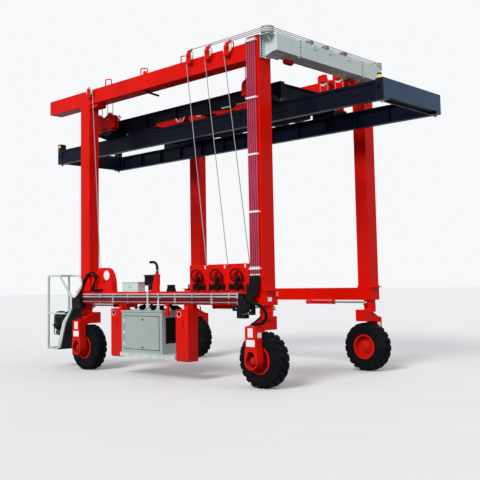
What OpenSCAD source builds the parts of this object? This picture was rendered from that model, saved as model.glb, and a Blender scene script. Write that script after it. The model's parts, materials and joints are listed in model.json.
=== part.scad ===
// Rubber tyred gantry crane that straddles a single container.
// Two side frames on four wheels, tied by one cross beam at the +X end.
// Millimetres. +X is the closed end, -Y is the near side with the cab and engine, +Z is up.
// The origin is on the ground, midway between the legs and the side frames.

/* [Gantry] */
// Distance between the leg centres along X
leg_spacing = 6660; // [6000:20:8000]
// Distance between the outer faces of the two side frames
frame_width = 4560; // [4400:20:5200]
// Height of the underside of the top beams
beam_under = 7440; // [6800:20:8200]
// Depth and width of a top beam
beam_size = 400; // [340:10:460]
// How far a top beam runs past its left leg
beam_overhang = 1565; // [600:5:1800]
// Distance that the left legs stand nearer the middle than the right ones
left_leg_inset = 190; // [150:10:230]
// Left leg section along X
left_leg_w = 410; // [360:10:440]
// Left leg section along Y
left_leg_d = 320; // [280:10:400]
// Right leg section along X
right_leg_w = 370; // [320:10:420]
// Right leg section along Y
right_leg_d = 400; // [340:10:400]
// How far a right leg stands above its top beam
leg_rise = 120; // [60:10:200]
// Thickness of the bolted flanges
flange_t = 25; // [16:1:30]
// How far a bolted flange stands proud of its tube
flange_lip = 35; // [25:5:50]

/* [Sill] */
// Underside of a sill beam
sill_under = 1830; // [1700:10:1900]
// Depth of a sill beam
sill_h = 320; // [280:10:360]
// Width of a sill beam
sill_w = 400; // [340:10:420]

/* [Cross beam] */
// Underside of the cross beam
cross_under = 7550; // [7300:10:7700]
// Depth of the cross beam
cross_h = 380; // [320:10:440]
// Width of the cross beam along X
cross_w = 460; // [400:10:520]
// How far the outer face of the cross beam stands from the right leg
cross_reach = 395; // [340:5:480]
// Length of a corner piece along Y
corner_len = 800; // [700:10:900]

/* [Wheels] */
// Outer radius of a tyre
tyre_r = 620; // [570:5:625]
// Width of a tyre
tyre_w = 390; // [340:5:400]
// Radius of the tyre bead
bead_r = 290; // [270:5:310]
// Number of tread lugs on each half of a tyre
lug_count = 20; // [16:2:24]
// Height of a tread lug
lug_h = 26; // [16:2:30]
// Distance of a wheel centre from the outer face of its frame
wheel_inset = 235; // [225:5:260]
// Distance from a leg centre outwards to the kingpin
kingpin_out = 50; // [30:5:80]
// Distance from the kingpin back to the axle
trail = 100; // [60:5:120]
// Radius of the kingpin
kingpin_r = 80; // [60:5:90]
// Width of a yoke along X
yoke_w = 320; // [280:10:340]
// Thickness of the upright part of a yoke
yoke_t = 210; // [160:10:240]
// Gap between the yoke and the tyre
yoke_gap = 40; // [30:5:60]
// Radius of the axle spindle
spindle_r = 110; // [80:5:120]

/* [Spreader] */
// Length of the spreader
spreader_l = 12192; // [11800:2:12400]
// Width of the spreader
spreader_w = 2438; // [2300:2:2500]
// Distance of the spreader's underside below the top beams at rest
hoist_drop = 1250; // [1200:10:1500]
// Depth of a spreader side beam
side_h = 440; // [380:10:460]
// Width of a spreader side beam
side_w = 150; // [120:10:180]
// Length of the lifting frame
lift_l = 6300; // [6000:20:6800]
// Gap between the lifting frame and the side beams
lift_gap = 110; // [80:10:140]
// Depth of a lifting frame beam
lift_h = 420; // [360:10:440]
// Radius of a block sheave
block_sheave_r = 135; // [125:1:140]
// Radius of the hoist rope
rope_r = 10; // [8:1:14]

/* [Winches] */
// Width of one winch bay
bay_w = 650; // [600:10:700]
// Height of the winch frame
winch_h = 630; // [560:10:700]
// Radius of a winch drum barrel
drum_r = 130; // [110:5:160]
// Radius of a winch drum flange
drum_flange_r = 235; // [210:5:250]
// Radius of a lead sheave
lead_sheave_r = 140; // [120:5:160]

/* [Power unit] */
// Length of the engine enclosure
engine_l = 1620; // [1500:5:1800]
// Depth of the engine enclosure
engine_d = 720; // [600:10:760]
// Height of the engine enclosure
engine_h = 1070; // [900:10:1100]
// Width of a side tank
tank_w = 440; // [380:10:500]
// Depth of a side tank
tank_d = 320; // [280:10:400]

/* [Cab] */
// Length of the cab at its sill
cab_l = 1230; // [1100:10:1260]
// Width of the cab
cab_w = 750; // [650:10:800]
// Height of the cab
cab_h = 2130; // [1900:10:2250]
// Side of a cab tube
cab_tube = 50; // [40:5:60]

/* [Hidden] */
$fn = 48;

red = [0.82, 0.09, 0.05];
pale = [0.78, 0.82, 0.80];
navy = [0.05, 0.07, 0.12];
black = [0.05, 0.05, 0.06];
zinc = [0.70, 0.71, 0.72];
nylon = [0.92, 0.92, 0.90];
steel = [0.55, 0.55, 0.56];

// Clearance of a pin in its bore
fit = 0.1;
// Gap between faces that slide on each other
face_gap = 0.3;
// Gap round a fixed form that a moving one passes
running_gap = 8;
// Rope groove of a sheave
groove_w = 2 * rope_r + 4;
groove_d = 2 * rope_r + face_gap;

frame_y = frame_width / 2;
leg_x = leg_spacing / 2;
beam_top = beam_under + beam_size;
sill_top = sill_under + sill_h;
sill_y0 = -frame_y + 30;
sill_y1 = sill_y0 + sill_w;
foot_z = sill_top + 2 * flange_t;
right_leg_in = leg_x - right_leg_w / 2;
right_leg_out = leg_x + right_leg_w / 2;
left_leg_out = left_leg_inset - leg_x - left_leg_w / 2;
left_leg_in = left_leg_out + left_leg_w;
leg_top = beam_top + leg_rise;
cross_x1 = right_leg_out + cross_reach;
cross_x0 = cross_x1 - cross_w;
cross_top = cross_under + cross_h;
spreader_under = beam_under - hoist_drop;
kingpin_x = leg_x + kingpin_out;
wheel_x = kingpin_x - trail;
wheel_y = frame_y - wheel_inset;

// A box between two corners
module block(lo, hi) {
    translate(lo)
        cube(hi - lo);
}

// A round bar along X, Y or Z
module bar_x(x0, x1, y, z, r) {
    translate([x0, y, z])
        rotate([0, 90, 0])
            cylinder(h = x1 - x0, r = r);
}
module bar_y(x, y0, y1, z, r) {
    translate([x, y0, z])
        rotate([-90, 0, 0])
            cylinder(h = y1 - y0, r = r);
}
module bar_z(x, y, z0, z1, r) {
    translate([x, y, z0])
        cylinder(h = z1 - z0, r = r);
}

// A square bar between two points of one upright plane along X
module slant_bar(x0, z0, x1, z1, y0, y1, t) {
    run = sqrt(pow(x1 - x0, 2) + pow(z1 - z0, 2));
    lean = atan2(z1 - z0, x1 - x0);
    translate([x0, y0, z0])
        rotate([0, -lean, 0])
            translate([0, 0, -t / 2])
                cube([run, y1 - y0, t]);
}

// An outline in X and Z, given depth along Y
module upright(points, y0, y1) {
    translate([0, y1, 0])
        rotate([90, 0, 0])
            linear_extrude(y1 - y0)
                polygon(points);
}

// An outline in Y and Z, given length along X
module endwise(points, x0, x1) {
    translate([x0, 0, 0])
        rotate([90, 0, 90])
            linear_extrude(x1 - x0)
                polygon(points);
}

// A round bar between any two points
module rod_between(p, q, r) {
    d = q - p;
    translate(p)
        rotate([0, acos(d[2] / norm(d)), atan2(d[1], d[0])])
            cylinder(h = norm(d), r = r);
}

// A grooved sheave on an axis along Y, drawn at the origin
module sheave(bore, r, w) {
    rotate([-90, 0, 0])
        rotate_extrude()
            polygon([[bore, -w / 2 - 3], [bore + 25, -w / 2 - 3], [bore + 30, -w / 5], [r - 35, -w / 5],
                [r - 25, -w / 2], [r, -w / 2], [r - groove_d, -groove_w / 2], [r - groove_d, groove_w / 2],
                [r, w / 2], [r - 25, w / 2], [r - 35, w / 5], [bore + 30, w / 5],
                [bore + 25, w / 2 + 3], [bore, w / 2 + 3]]);
}

// A plate across Y, square at one end and round at the other, with its round centre at x, z
module cheek(x, z, reach, r, y0, y1) {
    bar_y(x, y0, y1, z, r);
    block([x - r, y0, min(z, z + reach)], [x + r, y1, max(z, z + reach)]);
}

// The near side is drawn, and the far side is its mirror image
module side(far) {
    mirror([0, far ? 1 : 0, 0])
        children();
}

// The right end is drawn, and the left end is its mirror image
module end_of(left) {
    mirror([left ? 1 : 0, 0, 0])
        children();
}

module top_beam() {
    x0 = left_leg_out - beam_overhang;
    x1 = right_leg_in - 2 * flange_t;
    block([x0, -frame_y, beam_under], [x1, -frame_y + beam_size, beam_top]);
    block([x1, -frame_y, beam_under - flange_lip],
        [x1 + flange_t, -frame_y + beam_size, beam_top + flange_lip]);
}

module left_leg() {
    y0 = -frame_y;
    y1 = y0 + left_leg_d;
    block([left_leg_out, y0, foot_z], [left_leg_in, y1, beam_under - flange_t]);
    block([left_leg_out - flange_lip, y0, beam_under - flange_t],
        [left_leg_in + flange_lip, y1 + flange_lip, beam_under]);
    block([left_leg_out - flange_lip, y0, foot_z - flange_t],
        [left_leg_in + flange_lip, y1 + flange_lip, foot_z]);
}

module right_leg() {
    y0 = -frame_y;
    y1 = y0 + right_leg_d;
    block([right_leg_in, y0, foot_z], [right_leg_out, y1, leg_top]);
    block([right_leg_in - flange_t, y0, beam_under - flange_lip],
        [right_leg_in, y1, beam_top + flange_lip]);
    block([right_leg_in - flange_lip, y0, foot_z - flange_t],
        [right_leg_out + flange_lip, y1, foot_z]);
}

// Sill beam with a kingpin sleeve at each end
sleeve_r = 150;
sleeve_bottom = sill_under - 30;
sill_end = kingpin_x + 170;
module sill() {
    difference() {
        union() {
            block([-sill_end, sill_y0, sill_under], [sill_end, sill_y1, sill_top]);
            for (end = [-1, 1]) {
                bar_z(end * kingpin_x, -wheel_y, sleeve_bottom, sill_top, sleeve_r);
                block([end * kingpin_x - 240, sill_y0 - 20, sill_top],
                    [end * kingpin_x + 240, sill_y1, sill_top + flange_t]);
            }
        }
        for (end = [-1, 1])
            bar_z(end * kingpin_x, -wheel_y, sleeve_bottom - 1, sill_top - 40, kingpin_r + fit);
    }
}

// Corner of the cross beam, bolted to the right leg
module corner_beam() {
    y0 = -frame_y + 180;
    y1 = y0 + 450;
    x0 = right_leg_out + flange_t;
    shelf = rope_z(3) - 42;
    block([right_leg_out, y0, cross_under - 100], [x0, y0 + 220, cross_top + 70]);
    upright([[x0, cross_under - 80], [cross_x1 - 120, cross_under],
        [cross_x1, cross_under], [cross_x1, cross_top], [x0, cross_top + 15]], y0, y1);
    block([cross_x0, y1, cross_under], [cross_x1, y0 + corner_len - flange_t, cross_top]);
    block([cross_x0 - 30, y0 + corner_len - flange_t, cross_under - 30],
        [cross_x1, y0 + corner_len, cross_top + 30]);
    block([corner_x - 110, corner_y - 110, shelf - 18], [corner_x + 110, y0 + 120, shelf]);
    endwise([[y0, cross_top - 200], [y0, shelf - 18], [corner_y - 60, shelf - 18]],
        corner_x - 8, corner_x + 8);
    bar_z(corner_x, corner_y, shelf - 10, rope_z(1) + 44, corner_post_r);
    bar_z(corner_x, corner_y, rope_z(1) + 24, rope_z(1) + 36, corner_r + 15);
}

splice_y = frame_y - 180 - corner_len;
module cross_beam() {
    color(pale) {
        block([cross_x0, -splice_y + flange_t, cross_under],
            [cross_x1, splice_y - flange_t, cross_top]);
        for (far = [false, true])
            side(far)
                block([cross_x0 - 30, -splice_y, cross_under - 30],
                    [cross_x1, -splice_y + flange_t, cross_top + 30]);
    }
}

// Rope rollers along the outer edge of the cross beam
roller_y = [-710, -90, 670];
rope_x = cross_x1 - 50;
module cross_beam_rollers() {
    color(zinc)
        for (y = roller_y) {
            block([rope_x - 190, y - 90, cross_top], [cross_x1, y + 90, cross_top + 12]);
            bar_z(rope_x - 110, y, cross_top + 12, rope_z(1) + 25, 60);
            block([cross_x1, y - 90, cross_top - 90], [cross_x1 + 12, y + 90, cross_top + 12]);
            for (i = [1:3])
                bar_z(rope_x - 110, y, rope_z(i) - 12, rope_z(i) + 12, 100 - face_gap);
        }
}

// Steering yoke: an arm over the tyre and down its outer side, with a tiller for its cylinder
tiller_r = 230;
tiller_pin_r = 20;
yoke_top = sleeve_bottom - face_gap;
arm_under = 2 * tyre_r + 40;
arm_top = arm_under + 300;
axle_z = tyre_r;
yoke_inner = -wheel_y - tyre_w / 2 - yoke_gap;
yoke_outer = yoke_inner - yoke_t;
boss_r = yoke_w / 2 + 30;
pocket_r = boss_r - 30;
pocket_d = 130;
module yoke() {
    half = yoke_w / 2;
    color(red) {
        difference() {
            intersection() {
                endwise([[yoke_outer, 0], [yoke_inner, 0], [yoke_inner, arm_under - 50],
                    [yoke_inner + 140, arm_under], [-wheel_y + 280, arm_under],
                    [-wheel_y + 280, arm_top], [yoke_outer + 580, arm_top],
                    [yoke_outer + 475, arm_top - 30], [yoke_outer + 150, arm_top - 185],
                    [yoke_outer, arm_top - 215]], wheel_x - boss_r, wheel_x + boss_r);
                union() {
                    bar_y(wheel_x, yoke_outer, yoke_inner, axle_z, boss_r);
                    upright([[wheel_x - boss_r, axle_z], [wheel_x + boss_r, axle_z],
                        [wheel_x + boss_r, axle_z + 120], [wheel_x + half, axle_z + 300],
                        [wheel_x + half, arm_top], [wheel_x - half, arm_top],
                        [wheel_x - half, axle_z + 300], [wheel_x - boss_r, axle_z + 120]],
                        yoke_outer, -wheel_y + 300);
                }
            }
            bar_y(wheel_x, yoke_outer - 1, yoke_outer + pocket_d, axle_z, pocket_r);
            block([wheel_x - pocket_r + 45, yoke_outer - 1, axle_z],
                [wheel_x + pocket_r - 45, yoke_outer + pocket_d, axle_z + 100]);
            bar_y(wheel_x, yoke_outer - 1, yoke_outer + pocket_d, axle_z + 100, pocket_r - 45);
            block([wheel_x - half + 25, yoke_outer + 150, arm_under + 60],
                [wheel_x + half - 25, yoke_outer + 290, arm_top]);
        }
        bar_y(wheel_x, yoke_outer + 70, yoke_outer + pocket_d + 1, axle_z, 85);
        bar_z(kingpin_x, -wheel_y, arm_top - 60, yoke_top, sleeve_r);
        block([kingpin_x - 40, -wheel_y + 100, sill_under - 120],
            [kingpin_x + 40, -wheel_y + tiller_r + 40, sill_under - 90]);
        bar_z(kingpin_x, -wheel_y + tiller_r, sill_under - 100, sill_under - 10, tiller_pin_r);
        bar_z(kingpin_x, -wheel_y, yoke_top, sill_top - 60, kingpin_r);
        bar_y(wheel_x, yoke_inner - 20, -wheel_y + 40, axle_z, spindle_r);
    }
}

// Wheel rim, a turned disc on the spindle with a lip over each bead
bead_w = tyre_w / 2 - 22;
rim_lip = 28;
module rim() {
    edge = bead_w + 12;
    wall = 14;
    color(red)
        translate([wheel_x, -wheel_y, axle_z])
            rotate([-90, 0, 0])
                rotate_extrude()
                    polygon([[bead_r - wall, -edge], [bead_r + rim_lip, -edge],
                        [bead_r + rim_lip, -bead_w], [bead_r, -bead_w], [bead_r, bead_w],
                        [bead_r + rim_lip, bead_w], [bead_r + rim_lip, edge], [bead_r - wall, edge],
                        [bead_r - wall, 40], [150, 60], [150, 90], [0, 90], [0, 50],
                        [spindle_r + fit, 50], [spindle_r + fit, -60], [190, -60], [190, -10],
                        [bead_r - wall, 0]]);
}

// Tyre: a turned carcass, with slanted tread lugs cut to its outer form
module tyre_form(r, w) {
    rotate([-90, 0, 0])
        rotate_extrude()
            polygon([[bead_r, -bead_w], [bead_r + rim_lip + 2, -bead_w], [bead_r + 65, -w + 4],
                [tyre_r - 130, -w], [r - 40, -w + 12], [r, -w + 50], [r, w - 50],
                [r - 40, w - 12], [tyre_r - 130, w], [bead_r + 65, w - 4],
                [bead_r + rim_lip + 2, bead_w], [bead_r, bead_w]]);
}
lug_slant = 24;
module tyre() {
    half = tyre_w / 2;
    pitch = 360 / lug_count;
    lug_w = 0.55 * tyre_r * sin(pitch);
    color(black)
        translate([wheel_x, -wheel_y, axle_z])
            intersection() {
                tyre_form(tyre_r, half);
                union() {
                    tyre_form(tyre_r - lug_h, half - 10);
                    for (i = [0:lug_count - 1], inner = [0, 1])
                        rotate([0, (i + inner / 2) * pitch, 0])
                            mirror([0, inner, 0])
                                translate([0, 6, tyre_r - 120])
                                    rotate([0, 0, lug_slant])
                                        translate([-lug_w / 2, 0, 0])
                                            cube([lug_w, half + 60, 130]);
                }
            }
}

// Engine enclosure on its skid between the two side tanks
engine_x0 = -1275;
engine_y0 = yoke_outer;
skid_z = 510;
engine_z = skid_z + 100;
vent_n = 8;
module engine_enclosure() {
    x1 = engine_x0 + engine_l;
    y1 = engine_y0 + engine_d;
    z1 = engine_z + engine_h;
    vent_y0 = engine_y0 + 130;
    vent_w = engine_d - 230;
    pitch = vent_w / vent_n;
    color(pale) {
        difference() {
            block([engine_x0 + 15, engine_y0 + 15, engine_z], [x1 - 15, y1, z1 - 40]);
            block([engine_x0 + 110, engine_y0 + 14, engine_z + 90],
                [x1 - 117, engine_y0 + 23, z1 - 130]);
            block([x1 - 75, vent_y0, engine_z + 260], [x1 - 14, vent_y0 + vent_w, z1 - 170]);
        }
        block([engine_x0 + 118, engine_y0 + 9, engine_z + 98],
            [x1 - 125, engine_y0 + 23, z1 - 138]);
        for (i = [0:vent_n])
            block([x1 - 76, vent_y0 - 8 + i * (pitch - 1), engine_z + 259],
                [x1 - 20, vent_y0 + 8 + i * (pitch - 1), z1 - 169]);
        block([engine_x0, engine_y0, z1 - 40], [x1, y1 + 10, z1]);
        for (x = [engine_x0 + 0.45 * engine_l, engine_x0 + 0.66 * engine_l, engine_x0 + 0.93 * engine_l])
            difference() {
                upright([[x - 60, z1], [x + 60, z1], [x + 30, z1 + 90], [x - 30, z1 + 90]],
                    engine_y0 + 340, engine_y0 + 355);
                bar_y(x, engine_y0 + 339, engine_y0 + 356, z1 + 55, 20);
            }
    }
}
tank_y0 = -frame_y - 150;
tank_y1 = tank_y0 + tank_d;
tank_z = skid_z - 30;
tank_right = engine_x0 + engine_l + 435;
tank_left = engine_x0 - 55 - tank_w;
module engine_skid() {
    color(pale)
        block([tank_left + tank_w, engine_y0 + 10, skid_z],
            [tank_right, engine_y0 + engine_d, engine_z]);
}
module side_tanks() {
    top = sill_under - 110;
    color(red)
        for (x = [tank_left, tank_right]) {
            difference() {
                upright([[x, tank_z + 40], [x + 40, tank_z], [x + tank_w, tank_z], [x + tank_w, top],
                    [x, top]], tank_y0, tank_y1);
                bar_y(x + 120, tank_y0 - 1, tank_y0 + 90, top - 130, 60);
                block([x + 60, tank_y0 - 1, top - 130], [x + 180, tank_y0 + 90, top - 60]);
            }
            block([x + 60, sill_y0 + 40, top], [x + tank_w - 60, tank_y1, sill_under]);
            bar_z(x + tank_w - 110, tank_y0 + 110, top, top + 45, 45);
        }
}

// Cabinet, display box, fin, exhaust and hatch that stand on the sill above the engine
cabinet_x = engine_x0 - 315;
box_x = engine_x0 + 521;
module sill_equipment() {
    z = sill_top;
    y = sill_y0 + 60;
    fin_x = box_x + 354;
    color(pale) {
        block([cabinet_x, y, z], [cabinet_x + 650, y + 240, z + 240]);
        block([cabinet_x - 15, y - 15, z + 240], [cabinet_x + 665, y + 255, z + 255]);
    }
    color(black) {
        block([box_x + 130, y + 80, z], [box_x + 290, y + 140, z + 155]);
        block([box_x, y + 70, z + 155], [box_x + 440, y + 220, z + 415]);
        bar_z(box_x + 379, y + 180, z + 415, z + 600, 34);
        bar_x(box_x + 99, box_x + 219, y + 180, z + 760, 34);
        translate([box_x + 219, y + 180, z + 600])
            rotate([90, 0, 0])
                rotate_extrude(angle = 90)
                    translate([160, 0])
                        circle(r = 34);
        upright([[box_x + 921, z], [box_x + 1161, z], [box_x + 1111, z + 120],
            [box_x + 971, z + 120]], y, y + 130);
    }
    color(red)
        upright([[fin_x, z], [fin_x + 266, z], [fin_x + 230, z + 470], [fin_x + 133, z + 470]],
            y, y + 60);
}

// Winch frame: three bays between upright ribs, with the drums on pins along Y
winch_x1 = right_leg_in - flange_lip - 40;
winch_x0 = winch_x1 - 3 * bay_w;
winch_top = sill_top + winch_h;
drum_z = sill_top + 300;
plate_t = 20;
drum_y0 = sill_y0 + plate_t + running_gap;
drum_y1 = sill_y1 - plate_t - running_gap;
drum_pin_r = 40;
function drum_x(i) = winch_x0 + (i - 0.5) * bay_w;
module winch_frame() {
    window_r = drum_r + 20;
    color(red) {
        difference() {
            block([winch_x0, sill_y1 - plate_t, sill_top], [winch_x1, sill_y1, winch_top]);
            for (i = [1:3])
                bar_y(drum_x(i), sill_y1 - plate_t - 1, sill_y1 + 1, drum_z, drum_pin_r + fit);
        }
        for (i = [1:3]) {
            x = drum_x(i);
            half = bay_w / 2 - 22;
            difference() {
                upright([[x - half, sill_top + 110], [x + half, sill_top + 110],
                    [x + half, winch_top - 70], [x + half - 60, winch_top],
                    [x - half + 60, winch_top], [x - half, winch_top - 70]],
                    sill_y0, sill_y0 + plate_t);
                bar_y(x, sill_y0 - 1, sill_y0 + plate_t + 1, drum_z, window_r);
            }
            block([x - 25, sill_y0, drum_z - window_r - 10],
                [x + 25, sill_y0 + plate_t, drum_z + window_r + 10]);
            bar_y(x, sill_y0 - 25, sill_y0 + plate_t, drum_z, 70);
        }
        for (i = [0:3]) {
            x = winch_x0 + i * bay_w;
            xa = i == 0 ? x : i == 3 ? x - plate_t : x - plate_t / 2;
            upright([[xa, sill_top], [xa + plate_t, sill_top], [xa + plate_t, winch_top],
                [xa, winch_top]], sill_y0, sill_y1 - plate_t);
            block([i == 0 ? x : i == 3 ? x - 50 : x - 25, sill_y0 - 12, sill_top + 80],
                [i == 0 ? x + 50 : i == 3 ? x : x + 25, sill_y0, winch_top - 20]);
        }
        block([winch_x0, sill_y0, sill_top], [winch_x1, sill_y0 + 60, sill_top + 40]);
        for (y = [sill_y0 + 70, sill_y1 - 60])
            bar_x(winch_x0 + plate_t, winch_x1 - plate_t, y, winch_top - 30, 15);
    }
}

// Drum with rope grooves between its two flanges
module winch_drum(i) {
    y0 = drum_y0 + 20;
    y1 = drum_y1 - 20;
    grooves = 9;
    pitch = (y1 - y0) / grooves;
    color(red)
        translate([drum_x(i), 0, drum_z])
            rotate([-90, 0, 0])
                rotate_extrude()
                    polygon(concat(
                        [[0, drum_y0], [drum_flange_r, drum_y0], [drum_flange_r, y0]],
                        [for (k = [0:grooves - 1], q = [[0, 0.1], [-8, 0.3], [-8, 0.7], [0, 0.9]])
                            [drum_r + q[0], y0 + (k + q[1]) * pitch]],
                        [[drum_flange_r, y1], [drum_flange_r, drum_y1], [drum_pin_r, drum_y1],
                            [drum_pin_r, sill_y1], [0, sill_y1]]));
}

// Lead sheaves in front of the top beam, one over each winch. The ropes lie over one another.
sheave_y = -frame_y - 60;
rope_pitch = 42;
lead_pin_r = 25;
lead_w = 40;
rope_path_r = lead_sheave_r - groove_d + rope_r + 0.3;
function lead_x(i) = drum_x(i) - 160;
function lead_z(i) = beam_top + 47 + (2 - i) * rope_pitch;
function rope_z(i) = lead_z(i) + rope_path_r;
corner_r = 140;
corner_post_r = 40;
corner_x = rope_x - corner_r;
corner_y = sheave_y + corner_r;
left_sheave_x = left_leg_in + 95;
anchor_x = right_leg_in - 300;
foot_x = left_sheave_x + 500;
foot_y = sill_y0 + 110;
foot_sheave_r = 280;
foot_z1 = sill_top + 330;

module lead_bracket(x, z) {
    front = sheave_y - lead_w / 2 - 12;
    back = sheave_y + lead_w / 2 + 12;
    drop = lead_sheave_r + 60;
    block([x - 75, back, z - drop], [x + 75, -frame_y, beam_top]);
    bar_y(x, back, -frame_y - 2, z, 75);
    cheek(x, z, -drop, 75, front - 12, front);
    block([x - 75, front, z - drop], [x + 75, back, z - drop + 20]);
    bar_y(x, front - 20, back, z, lead_pin_r);
}
module lead_brackets() {
    color(red) {
        for (i = [1:3])
            lead_bracket(lead_x(i), lead_z(i));
        lead_bracket(left_sheave_x, left_sheave_z);
        for (far = [false, true])
            side(far) {
                for (x = block_x, s = [-1, 1]) {
                    xs = x + s * 2 * fall_pitch;
                    block([xs - 80, -frame_y + beam_size, fixed_z - 90],
                        [xs + 80, -frame_y + beam_size + 20, beam_top]);
                    block([xs - 50, -frame_y + beam_size + 20, fixed_z - 50],
                        [xs + 50, -block_y - 41, fixed_z + 50]);
                    for (y = [-block_y - 41, -block_y + 29])
                        cheek(xs, fixed_z, beam_top - 120 - fixed_z, 80, y, y + 12);
                    bar_y(xs, -block_y - 40, -block_y + 50, fixed_z, block_pin_r);
                }
            }
        side(true) {
            block([anchor_x - 200, -frame_y - 14, beam_top - 160],
                [anchor_x, -frame_y, rope_z(1) + 40]);
            block([anchor_x - 90, sheave_y - 40, rope_z(3) - 40],
                [anchor_x, -frame_y - 14, rope_z(1) + 40]);
        }
    }
}
module lead_sheave(i) {
    color(nylon)
        translate([lead_x(i), sheave_y, lead_z(i)])
            sheave(lead_pin_r + fit, lead_sheave_r, lead_w);
}

// Fixed sheaves: the hoist pairs, the left lead, the foot and the corner stacks
module corner_stack() {
    r = corner_r - rope_r - face_gap + groove_d;
    half = rope_pitch / 2 - 2;
    edge = groove_w / 2;
    translate([corner_x, corner_y, rope_z(3)])
        rotate_extrude()
            polygon(concat([[corner_post_r + fit, -half - 4]],
                [for (i = [0:2], q = [[r, -half], [r, -edge - 2], [r - groove_d, -edge],
                    [r - groove_d, edge], [r, edge + 2], [r, half]])
                    [q[0], q[1] + i * rope_pitch]],
                [[corner_post_r + fit, 2 * rope_pitch + half + 4]]));
}
module upper_sheaves() {
    color(nylon) {
        translate([left_sheave_x, sheave_y, left_sheave_z])
            sheave(lead_pin_r + fit, lead_sheave_r, lead_w);
        translate([foot_x, foot_y, foot_z1])
            sheave(lead_pin_r + fit, foot_sheave_r, lead_w);
        for (far = [false, true])
            side(far) {
                corner_stack();
                for (x = block_x, s = [-1, 1])
                    translate([x + s * 2 * fall_pitch, -block_y, fixed_z])
                        sheave(block_pin_r + fit, block_sheave_r, block_w);
            }
    }
}

// Where a rope that leaves one sheave on its +X side meets the next on its -X side, in X and Z
function lean(a, b, ra, rb) = atan2(b[1] - a[1], b[0] - a[0]) + asin((ra + rb) / norm(b - a));
function off(c, r, turn) = [c[0] - r * sin(turn), c[1] + r * cos(turn)];
module lead_rope(i) {
    drum = [drum_x(i), drum_z];
    top = [lead_x(i), lead_z(i)];
    a = lean(drum, top, drum_r + rope_r, rope_path_r);
    p = off(drum, -drum_r - rope_r, a);
    q = off(top, rope_path_r, a);
    rod_between([p[0], drum_y0 + 60 + 60 * i, p[1]], [q[0], sheave_y, q[1]], rope_r);
    translate([q[0], sheave_y, q[1]])
        sphere(r = rope_r + 0.2);
    translate([top[0], sheave_y, top[1]])
        rotate([90, 0, 0])
            rotate([0, 0, 90])
                rotate_extrude(angle = a)
                    translate([rope_path_r, 0])
                        circle(r = rope_r);
    bar_x(top[0], corner_x, sheave_y, rope_z(i), rope_r);
    bar_y(rope_x, corner_y, -corner_y, rope_z(i), rope_r);
    bar_x(anchor_x, corner_x, -sheave_y, rope_z(i), rope_r);
    for (far = [false, true])
        side(far)
            translate([corner_x, corner_y, rope_z(i)])
                rotate([0, 0, -90])
                    rotate_extrude(angle = 90)
                        translate([corner_r, 0])
                            circle(r = rope_r);
}
module lead_ropes() {
    low = [foot_x, foot_z1];
    top = [left_sheave_x, left_sheave_z];
    path_r = foot_sheave_r - groove_d + rope_r + 0.3;
    a = atan2(top[1] - low[1], top[0] - low[0]) - asin((path_r + rope_path_r) / norm(top - low));
    p = off(low, path_r, a);
    q = off(top, -rope_path_r, a);
    color(zinc) {
        for (i = [1:3])
            lead_rope(i);
        rod_between([p[0], foot_y, p[1]], [q[0], sheave_y, q[1]], rope_r);
    }
}

// Housing for the rope sheave at the foot of the near left leg
left_sheave_z = beam_top - 40;
housing_y0 = sill_y0;
housing_y1 = sill_y0 + 180;
function housing(t) = [[left_leg_in + 60 + t, sill_top - t], [foot_x + 385 - t, sill_top - t],
    [foot_x + 380 - t, sill_top + 50], [foot_x + 360 - t, sill_top + 290],
    [foot_x + 300 - t, sill_top + 470 - t / 2], [foot_x + 190 - t / 2, sill_top + 610 - t],
    [foot_x + 60, sill_top + 660 - t], [foot_x - 170, sill_top + 660 - t],
    [foot_x - 310, sill_top + 560 - t], [left_leg_in + 60 + t, sill_top + 420 - t]];
module left_foot_housing() {
    color(red) {
        difference() {
            upright(housing(0), housing_y0, housing_y1);
            upright(housing(16), housing_y0 + 16, housing_y1 - 16);
            bar_y(foot_x + 165, housing_y0 - 1, housing_y0 + 17, foot_z1 + 105, 100);
            block([foot_x - foot_sheave_r - 60, foot_y - 50, sill_top + 450],
                [foot_x - foot_sheave_r + 140, foot_y + 50, sill_top + 661]);
        }
        bar_y(foot_x, housing_y0 - 20, housing_y1, foot_z1, lead_pin_r);
        bar_y(foot_x, housing_y0 + 15, foot_y - 24, foot_z1, 60);
        bar_y(foot_x, foot_y + 24, housing_y1 - 15, foot_z1, 60);
        upright([[left_leg_in, foot_z], [left_leg_in + 60, foot_z], [left_leg_in + 60, sill_top + 400],
            [left_leg_in, sill_top + 520]], housing_y0 + 40, housing_y1 - 40);
    }
}

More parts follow.
